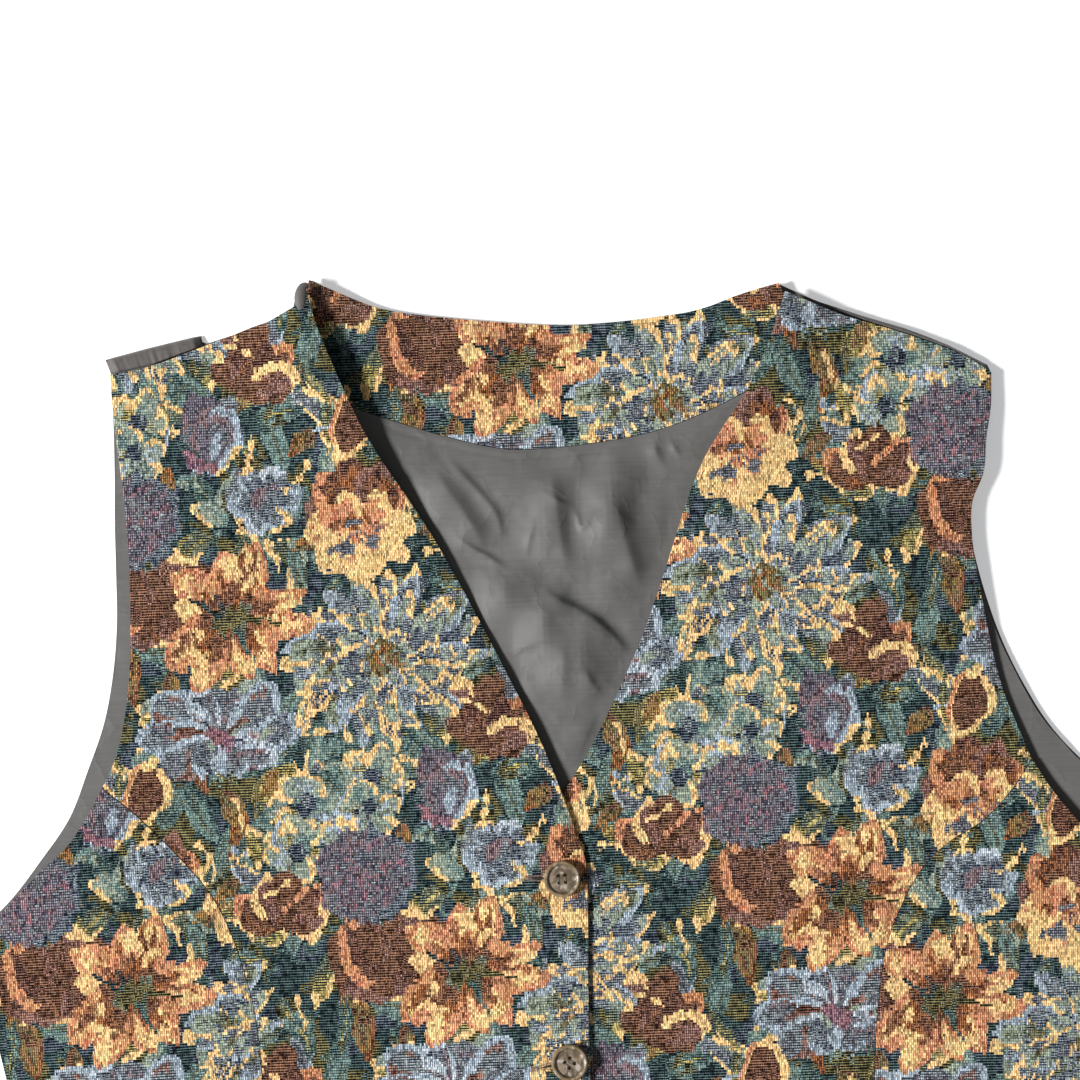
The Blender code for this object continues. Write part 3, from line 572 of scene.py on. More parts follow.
def flower_chart():
    """The whole chart as a grid of weave codes."""
    chart = Chart()
    large, small = chart.noise(13.0, 3), chart.noise(4.0, 4)
    chart.put(large + 0.6 * small > 0.25, "ground_olive")
    chart.put(large - 0.5 * small < -0.45, "ground_navy")
    chart.put(small > 0.58, "teal_mid")
    for number, (x, y, turn, length, width, kind) in enumerate(LEAVES):
        leaf(chart, x, y, turn, length, width, kind, number)
    random = np.random.default_rng(77)
    for number in range(95):
        x, y, turn = random.uniform(-181, 0), random.uniform(0, 148), random.uniform(0, 360)
        leaf(chart, x, y, turn, random.uniform(13, 24), random.uniform(6, 10),
             (0, 2, 4, 6, 7, 0, 1, 5)[number % 8], 60 + number)
        if number % 3 == 0:
            sprig(chart, x + 4, y - 3, turn + 70, random.uniform(8, 14),
                  ("cream", "light_blue", "sage")[number % 9 // 3])
    for number, (x, y, turn, size) in enumerate((
            (14, 50, 10, 13.0), (-14, 62, 10, 15.0), (4, 80, 0, 15.0), (-17, 80, 25, 14.0),
            (12, 64, 50, 13.0))):
        primrose(chart, x, y, turn, size, 11 + number)
    shell(chart, -160, 140, -8, 40.0, 4, 14)
    shell(chart, -26, 112, 12, 27.0, 5, 12)
    shell(chart, -36, 186, 40, 30.0, 4, 16)
    rosette(chart, -138, 180, 6, 9)
    ball(chart, -170, 91, 0, 6)
    chrysanthemum(chart, -70, 150, -14, 2)
    peony(chart, -78, 94, 0, 3)
    lily(chart, -131, 132, 0, 1.0, 1)
    tulip(chart, -138, 57, 8, 4)
    petunia(chart, -116, 84, 0, 8)
    bud(chart, -79, 56, 22, 1.0)
    for x, y, turn, length in (
            (-98, 70, 120, 16), (-116, 100, 60, 14), (-60, 76, 40, 15), (-52, 106, 15, 17),
            (-100, 168, 100, 13), (-20, 140, 70, 14), (-40, 168, 10, 14), (-128, 96, 20, 18),
            (-44, 58, 60, 14), (-22, 90, 130, 13)):
        sprig(chart, x, y, turn, length)
    return chart.woven()


# Shapes read from the frame

def node_points(name):
    """The corners of a CAD node, merged, in millimetres, and its faces as corner numbers."""
    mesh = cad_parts[name].data
    number_of, corner = {}, []
    for vertex in mesh.vertices:
        key = tuple(round(c / MM, 3) for c in vertex.co)
        corner.append(number_of.setdefault(key, len(number_of)))
    faces = [([corner[i] for i in face.vertices], face.normal.z) for face in mesh.polygons]
    return np.array(list(number_of)), faces


def node_outline(name):
    """The outline of a CAD node in plan, anticlockwise, in millimetres."""
    points, faces = node_points(name)
    sides = set()
    for ring, facing in faces:
        if facing < -0.3:
            sides.update(zip(ring, ring[1:] + ring[:1]))
    before = {b: a for a, b in sides if (b, a) not in sides}
    first = next(iter(before))
    loop, here = [first], before[first]
    while here != first:
        loop.append(here)
        here = before[here]
    return points[loop][:, :2]


def smooth_run(run, step):
    """A curve through a run of points, with points at about one step apart, without its last."""
    padded = np.vstack([2 * run[0] - run[1], run, 2 * run[-1] - run[-2]])
    pieces = []
    for a, b, c, d in zip(padded[:-3], padded[1:-2], padded[2:-1], padded[3:]):
        count = max(1, int(np.linalg.norm(c - b) / step))
        t = (np.arange(count) / count)[:, None]
        pieces.append(0.5 * (2 * b + (c - a) * t + (2 * a - 5 * b + 4 * c - d) * t ** 2
                             + (3 * b - a - 3 * c + d) * t ** 3))
    return np.vstack(pieces)


def smooth_outline(loop, step=1.2):
    """A rounded outline, and those of its points that are corners."""
    before, after = loop - np.roll(loop, 1, axis=0), np.roll(loop, -1, axis=0) - loop
    cross = before[:, 0] * after[:, 1] - before[:, 1] * after[:, 0]
    turn = np.degrees(np.arctan2(cross, (before * after).sum(axis=1)))
    corners = np.nonzero(np.abs(turn) > CORNER_TURN)[0]
    closed = np.roll(loop, -corners[0], axis=0)
    stops = [c - corners[0] for c in corners] + [len(loop)]
    closed = np.vstack([closed, closed[:1]])
    runs = [smooth_run(closed[a:b + 1], step) for a, b in zip(stops[:-1], stops[1:])]
    return np.vstack(runs), loop[corners]


def rows_inside(outline, x_middles, y_middles):
    """Which cells of a grid have their middle inside an outline."""
    inside = np.zeros((len(y_middles), len(x_middles)), dtype=bool)
    a, b = outline, np.roll(outline, -1, axis=0)
    for row, level in enumerate(y_middles):
        crossing = (a[:, 1] > level) != (b[:, 1] > level)
        p, q = a[crossing], b[crossing]
        where = np.sort(p[:, 0] + (level - p[:, 1]) * (q[:, 0] - p[:, 0]) / (q[:, 1] - p[:, 1]))
        inside[row] = np.searchsorted(where, x_middles) % 2 == 1
    return inside


def nearest_on(line, points, closed=True):
    """The nearest places on a densely drawn line to some points, and how far they are."""
    tree = KDTree(len(line))
    for number, (x, y) in enumerate(line):
        tree.insert((x, y, 0.0), number)
    tree.balance()
    nearest = np.array([tree.find((x, y, 0.0))[1] for x, y in points])
    places, gaps = points.copy(), np.full(len(points), np.inf)
    for back, ahead in ((-1, 0), (0, 1)):
        first, last = nearest + back, nearest + ahead
        if closed:
            first, last = first % len(line), last % len(line)
        else:
            first, last = np.clip(first, 0, len(line) - 1), np.clip(last, 0, len(line) - 1)
        a, run = line[first], line[last] - line[first]
        length = np.maximum((run ** 2).sum(axis=1), 1e-12)
        t = np.clip(((points - a) * run).sum(axis=1) / length, 0.0, 1.0)
        near = a + t[:, None] * run
        gap = np.hypot(*(points - near).T)
        closer = gap < gaps
        places[closer], gaps[closer] = near[closer], gap[closer]
    return places, gaps


def depth_inside(outline, points):
    """How far points lie inside an outline, negative outside it."""
    gaps = nearest_on(outline, points)[1]
    a, b = outline, np.roll(outline, -1, axis=0)
    odd = np.zeros(len(points), dtype=bool)
    for p, q in zip(a, b):
        if p[1] != q[1]:
            crossing = (p[1] > points[:, 1]) != (q[1] > points[:, 1])
            odd ^= crossing & (points[:, 0] < p[0] + (points[:, 1] - p[1]) * (q[0] - p[0]) / (q[1] - p[1]))
    return np.where(odd, gaps, -gaps)


def smooth_step(value, low, high):
    """Ease from 0 at low to 1 at high."""
    t = np.clip((value - low) / (high - low), 0.0, 1.0)
    return t * t * (3.0 - 2.0 * t)


class Relief:
    """The upper face of a CAD node as a smooth height over the plan, in millimetres."""

    def __init__(self, name, step=4.0, soften=2):
        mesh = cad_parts[name].data
        tree = BVHTree.FromPolygons([v.co for v in mesh.vertices], [p.vertices for p in mesh.polygons])
        low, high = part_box(name)
        self.step = step
        self.corner = np.array((low.x / MM - step, low.y / MM - step))
        columns = int((high.x - low.x) / MM / step) + 4
        rows = int((high.y - low.y) / MM / step) + 4
        height = np.full((rows, columns), np.nan)
        for row in range(rows):
            for column in range(columns):
                x, y = self.corner + (column * step, row * step)
                hit = tree.ray_cast(Vector((x * MM, y * MM, high.z + 0.01)), Vector((0, 0, -1)))[0]
                if hit is not None:
                    height[row, column] = hit.z / MM
        height = self.carried_outwards(height)
        for _ in range(soften):
            wide = np.pad(height, 1, mode="edge")
            across = 0.25 * wide[:, :-2] + 0.5 * wide[:, 1:-1] + 0.25 * wide[:, 2:]
            height = 0.25 * across[:-2] + 0.5 * across[1:-1] + 0.25 * across[2:]
        self.height = height

    @staticmethod
    def carried_outwards(height):
        """Fill the places where nothing was hit from their neighbours."""
        known = ~np.isnan(height)
        values = np.where(known, height, 0.0)
        rows, columns = values.shape
        while not known.all():
            total, count = np.zeros_like(values), np.zeros_like(values)
            held, seen = np.pad(values * known, 1), np.pad(known.astype(float), 1)
            for dy in (0, 1, 2):
                for dx in (0, 1, 2):
                    total += held[dy:dy + rows, dx:dx + columns]
                    count += seen[dy:dy + rows, dx:dx + columns]
            fresh = ~known & (count > 0)
            values[fresh] = total[fresh] / count[fresh]
            known |= fresh
        return values

    def at(self, points):
        """Heights at an array of places."""
        u, v = ((points - self.corner) / self.step).T
        u, v = np.clip(u, 0, self.height.shape[1] - 1.001), np.clip(v, 0, self.height.shape[0] - 1.001)
        j, i = u.astype(int), v.astype(int)
        fu, fv = u - j, v - i
        h = self.height
        return ((h[i, j] * (1 - fu) + h[i, j + 1] * fu) * (1 - fv)
                + (h[i + 1, j] * (1 - fu) + h[i + 1, j + 1] * fu) * fv)


def lay_noise(points, size, seed):
    """Smooth noise from -1 to 1 over the plan, with features of one size."""
    lattice = np.random.default_rng(seed).uniform(-1, 1, (64, 64))
    return smooth_lattice(lattice, points[:, 0] / size + 400.0, points[:, 1] / size + 400.0)


def from_garment(points):
    """Places counted across and down on the garment, as places in the plan."""
    return np.array([(across, NECK_LEVEL - down) for across, down in points], dtype=float)


def drawn_line(points, step):
    """A smooth line in the plan through places counted on the garment."""
    return np.vstack([smooth_run(from_garment(points), step), from_garment(points[-1:])])


def lengths_along(line):
    """How far along a line each of its points lies."""
    return np.concatenate([[0.0], np.cumsum(np.hypot(*np.diff(line, axis=0).T))])


def drawn_in(points):
    """Places above the shoulder line beside the right neck point, moved down onto it."""
    line = from_garment(SHOULDER_LINE)
    limit = np.interp(points[:, 0], line[:, 0], line[:, 1])
    beside = (points[:, 0] > line[0, 0]) & (points[:, 0] < line[-1, 0])
    level = np.where(beside, np.minimum(points[:, 1], limit), points[:, 1])
    return np.column_stack([points[:, 0], level])


# Cloth

def cloth_grid(outline, corners, cell, cut=(0.0, 0.0, 0.0)):
    """A grid of woven cells trimmed and snapped to an outline, kept in the cloth's own plan."""
    turn = Matrix.Rotation(math.radians(-cut[2]), 2)
    origin = np.array((cut[0], NECK_LEVEL - cut[1]))
    spin = np.array(turn)
    edge, points = (outline - origin) @ spin.T, (corners - origin) @ spin.T
    low = np.floor(edge.min(axis=0) / cell).astype(int) - 1
    count = np.ceil(edge.max(axis=0) / cell).astype(int) + 1 - low
    middles = [(np.arange(count[i]) + 0.5 + low[i]) * cell[i] for i in (0, 1)]
    inside = rows_inside(edge, *middles)
    bm = bmesh.new()
    bmesh.ops.create_grid(bm, x_segments=int(count[0]), y_segments=int(count[1]), size=0.5)
    size = Vector((count[0] * cell[0], count[1] * cell[1], 1.0))
    corner = Vector((low[0] * cell[0], low[1] * cell[1], 0.0))
    bmesh.ops.translate(bm, verts=bm.verts, vec=(0.5, 0.5, 0.0))
    bmesh.ops.scale(bm, verts=bm.verts, vec=size)
    bmesh.ops.translate(bm, verts=bm.verts, vec=corner)
    outside = []
    for face in bm.faces:
        middle = face.calc_center_median()
        column, row = int(middle.x // cell[0]) - low[0], int(middle.y // cell[1]) - low[1]
        if not inside[row, column]:
            outside.append(face)
    bmesh.ops.delete(bm, geom=outside, context='FACES')
    snap_to_outline(bm, edge, points, 0.12 * cell[0] * cell[1])
    place = bm.verts.layers.float_vector.new("place")
    for vert in bm.verts:
        vert[place] = vert.co
    back = Matrix.Rotation(math.radians(cut[2]), 4, 'Z')
    bmesh.ops.transform(bm, matrix=back, verts=bm.verts)
    bmesh.ops.translate(bm, verts=bm.verts, vec=(*origin, 0.0))
    return bm


def snap_to_outline(bm, edge, corners, smallest):
    """Move the border of a trimmed grid onto the outline, and drop the slivers that this makes."""
    for _ in range(4):
        rim = [vert for vert in bm.verts if vert.is_boundary]
        places = nearest_on(edge, np.array([vert.co.xy for vert in rim]))[0]
        for corner in corners:
            places[np.hypot(*(places - corner).T).argmin()] = corner
        for vert, place in zip(rim, places):
            vert.co.xy = place
        touched = {face for vert in rim for face in vert.link_faces}
        slivers = []
        for face in touched:
            face.normal_update()
            if face.calc_area() < smallest or face.normal.z < 0.5:
                slivers.append(face)
        if not slivers:
            return
        bmesh.ops.delete(bm, geom=slivers, context='FACES')


def plan_of(bm):
    """The plan places of a mesh's points."""
    return np.array([vert.co.xy for vert in bm.verts])


def set_heights(bm, heights):
    """Lift each point of a mesh to its own height."""
    for vert, height in zip(bm.verts, heights):
        vert.co.z = height


def outward_normals(bm):
    """For each open point, the direction in plan away from the cloth."""
    normals = {}
    for edge in bm.edges:
        if edge.is_boundary:
            a, b = edge.verts
            side = Vector((b.co.y - a.co.y, a.co.x - b.co.x))
            middle = edge.link_faces[0].calc_center_median().xy
            if side.dot((a.co.xy + b.co.xy) / 2 - middle) < 0:
                side = -side
            for vert in (a, b):
                normals[vert] = normals.get(vert, Vector((0, 0))) + side
    return {vert: normal.normalized() for vert, normal in normals.items()}


def turn_edge_under(bm, steps, corners=()):
    """Carry the open edge of the cloth through steps of outwards, down, and cloth used, in millimetres.

    Near a corner the hem reaches less far inwards, so that it never pokes out of the other side.
    """
    place = bm.verts.layers.float_vector["place"]
    start = {tuple(vert.co): (vert.co.copy(), normal, vert[place].copy())
             for vert, normal in outward_normals(bm).items()}
    edges = [edge for edge in bm.edges if edge.is_boundary]
    for outwards, down, used in steps:
        made = bmesh.ops.extrude_edge_only(bm, edges=edges)["geom"]
        edges = [item for item in made if isinstance(item, bmesh.types.BMEdge) and item.is_boundary]
        moved = {}
        for vert in [item for item in made if isinstance(item, bmesh.types.BMVert)]:
            base, normal, cloth = start[tuple(vert.co)]
            room = min([math.dist(base.xy, corner) for corner in corners], default=100.0)
            reach = max(outwards, -0.22 * room)
            vert.co = (base.x + normal.x * reach, base.y + normal.y * reach, base.z - down)
            vert[place] = cloth + Vector((normal.x * used, normal.y * used, 0.0))
            moved[tuple(vert.co)] = (base, normal, cloth)
        start = moved
    return edges


def finished_piece(name, bm, finish, sharp=50.0):
    """Scale a mesh from millimetres, and make it a smooth shaded piece that rides on the body."""
    bmesh.ops.recalc_face_normals(bm, faces=bm.faces)
    bmesh.ops.scale(bm, verts=bm.verts, vec=(MM, MM, MM))
    mesh = bpy.data.meshes.new(name)
    bm.to_mesh(mesh)
    bm.free()
    mesh.materials.append(finish)
    mesh.shade_smooth()
    mesh.set_sharp_from_angle(angle=math.radians(sharp))
    piece = bpy.data.objects.new(name, mesh)
    bpy.context.scene.collection.objects.link(piece)
    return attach(piece, BODY)


# Finishes

def linear(colour):
    """An sRGB colour from 0 to 255 as the linear one that a socket takes."""
    scaled = [c / 255.0 for c in colour[:3]]
    return tuple(c / 12.92 if c <= 0.04045 else ((c + 0.055) / 1.055) ** 2.4 for c in scaled) + (1.0,)


class Wire:
    """A number on its way through the shader; arithmetic on it adds Math nodes."""

    def __init__(self, finish, socket):
        self.finish, self.socket = finish, socket

    def math(self, operation, *values):
        return self.finish.node("Math", {"operation": operation}, dict(enumerate(values)))

    def __add__(self, other):
        return self.math('ADD', self, other)

    def __sub__(self, other):
        return self.math('SUBTRACT', self, other)

    def __rsub__(self, other):
        return self.math('SUBTRACT', other, self)

    def __mul__(self, other):
        return self.math('MULTIPLY', self, other)

    def __truediv__(self, other):
        return self.math('DIVIDE', self, other)

    __radd__ = __add__
    __rmul__ = __mul__

    def fraction(self):
        return self.math('FRACT', self)

    def whole(self):
        return self.math('FLOOR', self)

    def size(self):
        return self.math('ABSOLUTE', self)

    def wave(self):
        """A cosine of the value in turns, from 0 to 1."""
        return self.math('COSINE', self * math.tau) * 0.5 + 0.5

    def ease(self, low, high):
        """From 0 at low to 1 at high."""
        return self.finish.node("MapRange", {"interpolation_type": 'SMOOTHSTEP'},
                                {"Value": self, "From Min": low, "From Max": high})

    def output(self, name):
        """Another output of the same node."""
        return Wire(self.finish, self.socket.node.outputs[name])


class Finish:
    """A new material on one Principled shader."""

    def __init__(self, name, constants):
        self.material = bpy.data.materials.new(name)
        self.material.use_nodes = True
        self.tree = self.material.node_tree
        self.shader = self.tree.nodes["Principled BSDF"]
        for socket, value in constants.items():
            self.shader.inputs[socket].default_value = value

    def node(self, kind, settings=(), inputs=(), output=0):
        """Add any node: its type, its settings, and values or wires for its sockets."""
        node = self.tree.nodes.new(f"ShaderNode{kind}")
        for name, value in dict(settings).items():
            if name == "steps":
                node.color_ramp.interpolation = 'CONSTANT'
                ramp = node.color_ramp.elements
                ramp.remove(ramp[1])
                for number, colour in enumerate(value):
                    stop = ramp.new(number / len(value)) if number else ramp[0]
                    stop.color = colour
            else:
                setattr(node, name, value)
        for key, value in dict(inputs).items():
            if isinstance(value, Wire):
                self.tree.links.new(value.socket, node.inputs[key])
            else:
                node.inputs[key].default_value = value
        return Wire(self, node.outputs[output])

    def mix(self, share, first, second, blend='MIX'):
        """Two colours mixed by a share."""
        return self.node("Mix", {"data_type": 'RGBA', "blend_type": blend, "clamp_factor": True},
                         {0: share, 6: first, 7: second}, 2)

    def place(self):
        """The place on the piece, in metres."""
        return self.node("TexCoord", {}, {}, "Object")

    def scaled(self, colour, share):
        """A colour made lighter or darker."""
        return self.node("VectorMath", {"operation": 'SCALE'}, {0: colour, "Scale": share})

    def noise(self, place, scale, detail=2.0, roughness=0.5):
        """Smooth noise from 0 to 1."""
        return self.node("TexNoise", {}, {"Vector": place, "Scale": scale, "Detail": detail,
                                          "Roughness": roughness})

    def join(self, x, y, z=0.0):
        return self.node("CombineXYZ", {}, {0: x, 1: y, 2: z})

    def connect(self, colour=None, roughness=None, height=None, bump=0.3, depth=0.0003):
        """Feed the shader what varies over the surface."""
        if colour is not None:
            self.tree.links.new(colour.socket, self.shader.inputs["Base Color"])
        if roughness is not None:
            self.tree.links.new(roughness.socket, self.shader.inputs["Roughness"])
        if height is not None:
            normal = self.node("Bump", {}, {"Strength": bump, "Distance": depth, "Height": height})
            self.tree.links.new(normal.socket, self.shader.inputs["Normal"])
        return self.material


def tapestry_finish(settings):
    """Weft-faced tapestry: each cell has its chart yarn, ribs run across and warp lines down."""
    if "tapestry_weave" in bpy.data.materials:
        return bpy.data.materials["tapestry_weave"]
    finish = Finish("tapestry_weave", {"Specular IOR Level": 0.03})
    place = finish.node("Attribute", {"attribute_name": "place"}, output="Vector")
    split = finish.node("SeparateXYZ", {}, {0: place})
    across, down = split.output("X") / FACE[0], split.output("Y") / FACE[1]
    pair = finish.node("SeparateColor", {}, {0: finish.node("Attribute", {"attribute_name": "weave"})})
    second = finish.node("Math", {"operation": 'GREATER_THAN'}, {0: across.fraction(), 1: 0.5})
    code = pair + (pair.output("Green") - pair) * second
    yarns, lines = ([(*linear(kind[i])[:3], kind[i + 2]) for kind in WEAVES.values()] for i in (0, 1))
    yarn = finish.node("ValToRGB", {"steps": yarns}, {0: code})
    line = finish.node("ValToRGB", {"steps": lines}, {0: code})
    rib_share, warp_share = yarn.output("Alpha"), line.output("Alpha")

    def chance(x, y):
        return finish.node("TexWhiteNoise", {"noise_dimensions": '2D'}, {"Vector": finish.join(x, y)})

    row, end = down.whole(), (across.fraction() - 0.5).size()
    lag = chance(row, 0.5)
    dash = chance((across * 0.45 + lag * 5.0).whole(), row)
    cell, half = chance(across.whole(), row + 0.5), chance((across * 2.0).whole(), row)
    wobble = finish.noise(finish.join(across * 0.35, down * 0.35), 1.0, 1.0) - 0.5
    from_middle = ((down + 0.14 * wobble).fraction() - 0.5).size()
    width = 0.44 - rib_share * 0.3
    rib = from_middle.ease(width, width + 0.13) * rib_share * (0.12 + 0.88 * dash.ease(0.16, 0.26))
    warp = end.ease(0.1, 0.3) * warp_share * (0.5 + 0.5 * half)
    float_over = cell.ease(0.76, 0.8) * warp_share * 0.75
    seam = 1.0 - (1.0 - rib) * (1.0 - warp) * (1.0 - float_over)
    patchy = finish.noise(finish.join(across, down * 0.6), 0.09, 3.0)
    shade = 1.0 + (half - 0.5) * settings.yarn_variation + (dash - 0.5) * 0.3 + (patchy - 0.5) * 0.2
    colour = finish.scaled(finish.mix(seam, yarn, line), shade * settings.yarn_brightness)
    rounded = 1.0 - from_middle * from_middle * 4.0
    relief = rounded * 0.7 + (1.0 - end * end * 4.0) * 0.4 + (half - 0.5) * 0.5
    rough = 0.82 + (cell - 0.5) * 0.14
    return finish.connect(colour, rough, relief, settings.weave_relief, 0.00035)


def satin_finish(name, tint, settings):
    """Grey satin: a fine weave, a soft sheen and faint slubs."""
    finish = Finish(name, {"Sheen Weight": 0.2, "Sheen Roughness": 0.45, "Specular IOR Level": 0.3})
    place = finish.place()
    split = finish.node("SeparateXYZ", {}, {0: place})
    x, y = split.output("X"), split.output("Y")
    threads = (y / settings.satin_thread).wave()
    fine = finish.noise(finish.join(x * 60.0, y * 900.0), 1.0, 2.0)
    cloudy = finish.noise(place, 26.0, 3.0)
    shade = 0.8 + fine * 0.3 + (cloudy - 0.5) * 0.24 + (threads - 0.5) * 0.08
    colour = finish.scaled(tuple(tint)[:3], shade)
    rough = 0.58 + (cloudy - 0.5) * 0.12 + (fine - 0.5) * 0.1
    crinkle = 1.0 - (finish.noise(place, 48.0, 3.0, 0.45) - 0.5).size() * 3.0
    crinkle = finish.node("Math", {"operation": 'POWER', "use_clamp": True}, {0: crinkle, 1: 6.0})
    relief = threads * 0.3 + fine * 1.2 + crinkle * settings.crinkle
    return finish.connect(colour, rough, relief, 0.18, 0.00012)


def horn_finish(name, middle, settings):
    """Horn-look button: clear tan rim, brown grey middle with curved pale streaks, and painted shade in the
    groove.
    """
    finish = Finish(f"{name}_horn", {"Coat Weight": 0.25, "Coat Roughness": 0.12})
    place = finish.place()
    local = finish.node("VectorMath", {"operation": 'SUBTRACT'}, {0: place, 1: (middle[0], middle[1], 0.0)})
    flat = finish.node("VectorMath", {"operation": 'MULTIPLY'}, {0: local, 1: (1.0, 1.0, 0.0)})
    radius = finish.node("VectorMath", {"operation": 'LENGTH'}, {0: flat}, "Value") / MM
    seed = 7.3 * BUTTONS.index(name)
    drift = finish.node("VectorMath", {"operation": 'ADD'}, {0: local, 1: (seed, seed * 0.7, 0.0)})
    warped = finish.node("TexNoise", {}, {"Vector": drift, "Scale": 190.0, "Detail": 2.0, "Distortion": 1.6})
    bands = finish.node("TexWave", {"wave_type": 'RINGS', "rings_direction": 'Z'},
                        {"Vector": drift, "Scale": 75.0, "Distortion": 9.0, "Detail": 3.0,
                         "Detail Scale": 1.4}, 1)
    dark, light, streak, edge = ((*colour, 1.0) for colour in (
        settings.horn_dark, settings.horn_light, settings.horn_streak, settings.horn_rim))
    horn = finish.mix(warped.ease(0.36, 0.68), dark, light)
    pale = finish.mix(bands.ease(0.62, 0.98) * warped.ease(0.45, 0.6) * 0.55, horn, streak)
    colour = finish.mix(radius.ease(*HORN_RIM) * 0.5, pale, edge)
    # Painted shade: the groove inside the rim is darkened towards deep brown, standing in for the shade that
    # falls in it
    groove = 1.0 - (radius - HORN_GROOVE).size().ease(0.0, HORN_GROOVE_SHADE_HALF)
    colour = finish.mix(groove * 0.25, colour, linear((58, 46, 38)))
    rough = 0.3 + (warped - 0.5) * 0.15
    turned = (radius / HORN_TURNING).wave()
    return finish.connect(colour, rough, warped * 0.6 + turned * 0.15, 0.2, 0.00015)


def thread_finish(name, tint):
    """Sewing thread: two plies twisted, in one colour."""
    finish = Finish(name, {"Sheen Weight": 0.2})
    place = finish.place()
    split = finish.node("SeparateXYZ", {}, {0: place})
    twist = ((split.output("X") + split.output("Y")) / THREAD_TWIST).wave()
    worn = finish.noise(place, 700.0, 1.0)
    colour = finish.scaled(tuple(tint)[:3], 0.7 + twist * 0.3 + worn * 0.3)
    return finish.connect(colour, 0.62 + worn * 0.2, twist, 0.3, 0.0001)


def floor_finish(tint):
    """A plain pale surface with the least mottle, glowing a little so that shadows on it stay pale."""
    finish = Finish("pale_floor", {"Specular IOR Level": 0.2, "Emission Color": DAYLIGHT,
                                   "Emission Strength": FLOOR_GLOW})
    place = finish.place()
    mottle = finish.noise(place, 6.0, 3.0)
    colour = finish.scaled(tuple(tint)[:3], 0.99 + mottle * 0.02)
    return finish.connect(colour, 0.78 + mottle * 0.05)


# Pieces

def paint_weave(mesh, code):
    """Give each face of the cloth the codes of its two cells, as shares of the list of weaves."""
    count = len(mesh.polygons)
    column, row = np.empty(count, dtype=np.int32), np.empty(count, dtype=np.int32)
    mesh.attributes["column"].data.foreach_get("value", column)
    mesh.attributes["row"].data.foreach_get("value", row)
    sides = np.empty(count, dtype=np.int32)
    mesh.polygons.foreach_get("loop_total", sides)
    rows, columns = code.shape
    pair = np.zeros((count, 4), dtype=np.float32)
    for cell in range(PAIR):
        pair[:, cell] = (code[row % rows, (PAIR * column + cell) % columns] + 0.5) / len(WEAVES)
    pair[:, 3] = 1.0
    layer = mesh.attributes.new("weave", 'FLOAT_COLOR', 'CORNER')
    layer.data.foreach_set("color", np.repeat(pair, sides, axis=0).ravel())


def make_tapestry_panel(node, code, settings):
    """A panel of tapestry on its solid's form: woven cells, soft puckers and a turned edge."""
    outline, corners = smooth_outline(node_outline(node))
    if node == "front_right":
        outline, corners = drawn_in(outline), drawn_in(corners)
    bm = cloth_grid(outline, corners, FACE, CUTS[node])
    plan = plan_of(bm)
    depth = nearest_on(outline, plan)[1]
    height = Relief(node).at(plan)
    waves = lay_noise(plan, 34.0, 5) + 0.5 * lay_noise(plan, 15.0, 6)
    height += UNDULATION * waves * smooth_step(depth, 0, 30)
    groove = np.exp(-((depth - settings.stitch_inset / MM) / 0.7) ** 2)
    pucker = 0.5 + 0.5 * lay_noise(plan, 5.0, 8)
    height -= settings.stitch_pull / MM * groove * (0.6 + 0.6 * pucker)
    height -= EDGE_ROUNDING * (1.0 - smooth_step(depth, 0.0, 1.4))
    set_heights(bm, height)
    turn_edge_under(bm, EDGE_TURN, corners)
    place = bm.verts.layers.float_vector["place"]
    column, row = bm.faces.layers.int.new("column"), bm.faces.layers.int.new("row")
    for face in bm.faces:
        middle = sum((vert[place] for vert in face.verts), Vector()) / len(face.verts)
        face[column], face[row] = int(middle.x // FACE[0]), int(-middle.y // FACE[1])
    piece = finished_piece(f"{node}_tapestry", bm, tapestry_finish(settings))
    paint_weave(piece.data, code)
    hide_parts(node)
    return piece


def make_satin_back(settings):
    """The satin back, flat underneath, with its shoulder edge rolled over to the front."""
    outline, corners = (drawn_in(points) for points in smooth_outline(node_outline("back"), 2.0))
    bm = cloth_grid(outline, corners, (SATIN_CELL, SATIN_CELL))
    plan = plan_of(bm)
    depth = nearest_on(outline, plan)[1]
    set_heights(bm, BACK_FACE - SATIN_ROUNDING * (1.0 - smooth_step(depth, 0.0, 3.0)))
    edges = turn_edge_under(bm, BACK_EDGE_TURN)
    bmesh.ops.holes_fill(bm, edges=edges, sides=0)
    for side in (-1, 1):
        add_shoulder_roll(bm, side)
    add_neck_fold(bm, surface_of(bpy.data.objects["front_right_tapestry"]))
    piece = finished_piece("back_satin", bm, satin_finish("back_satin", settings.back_colour, settings))
    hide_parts("back")
    return piece


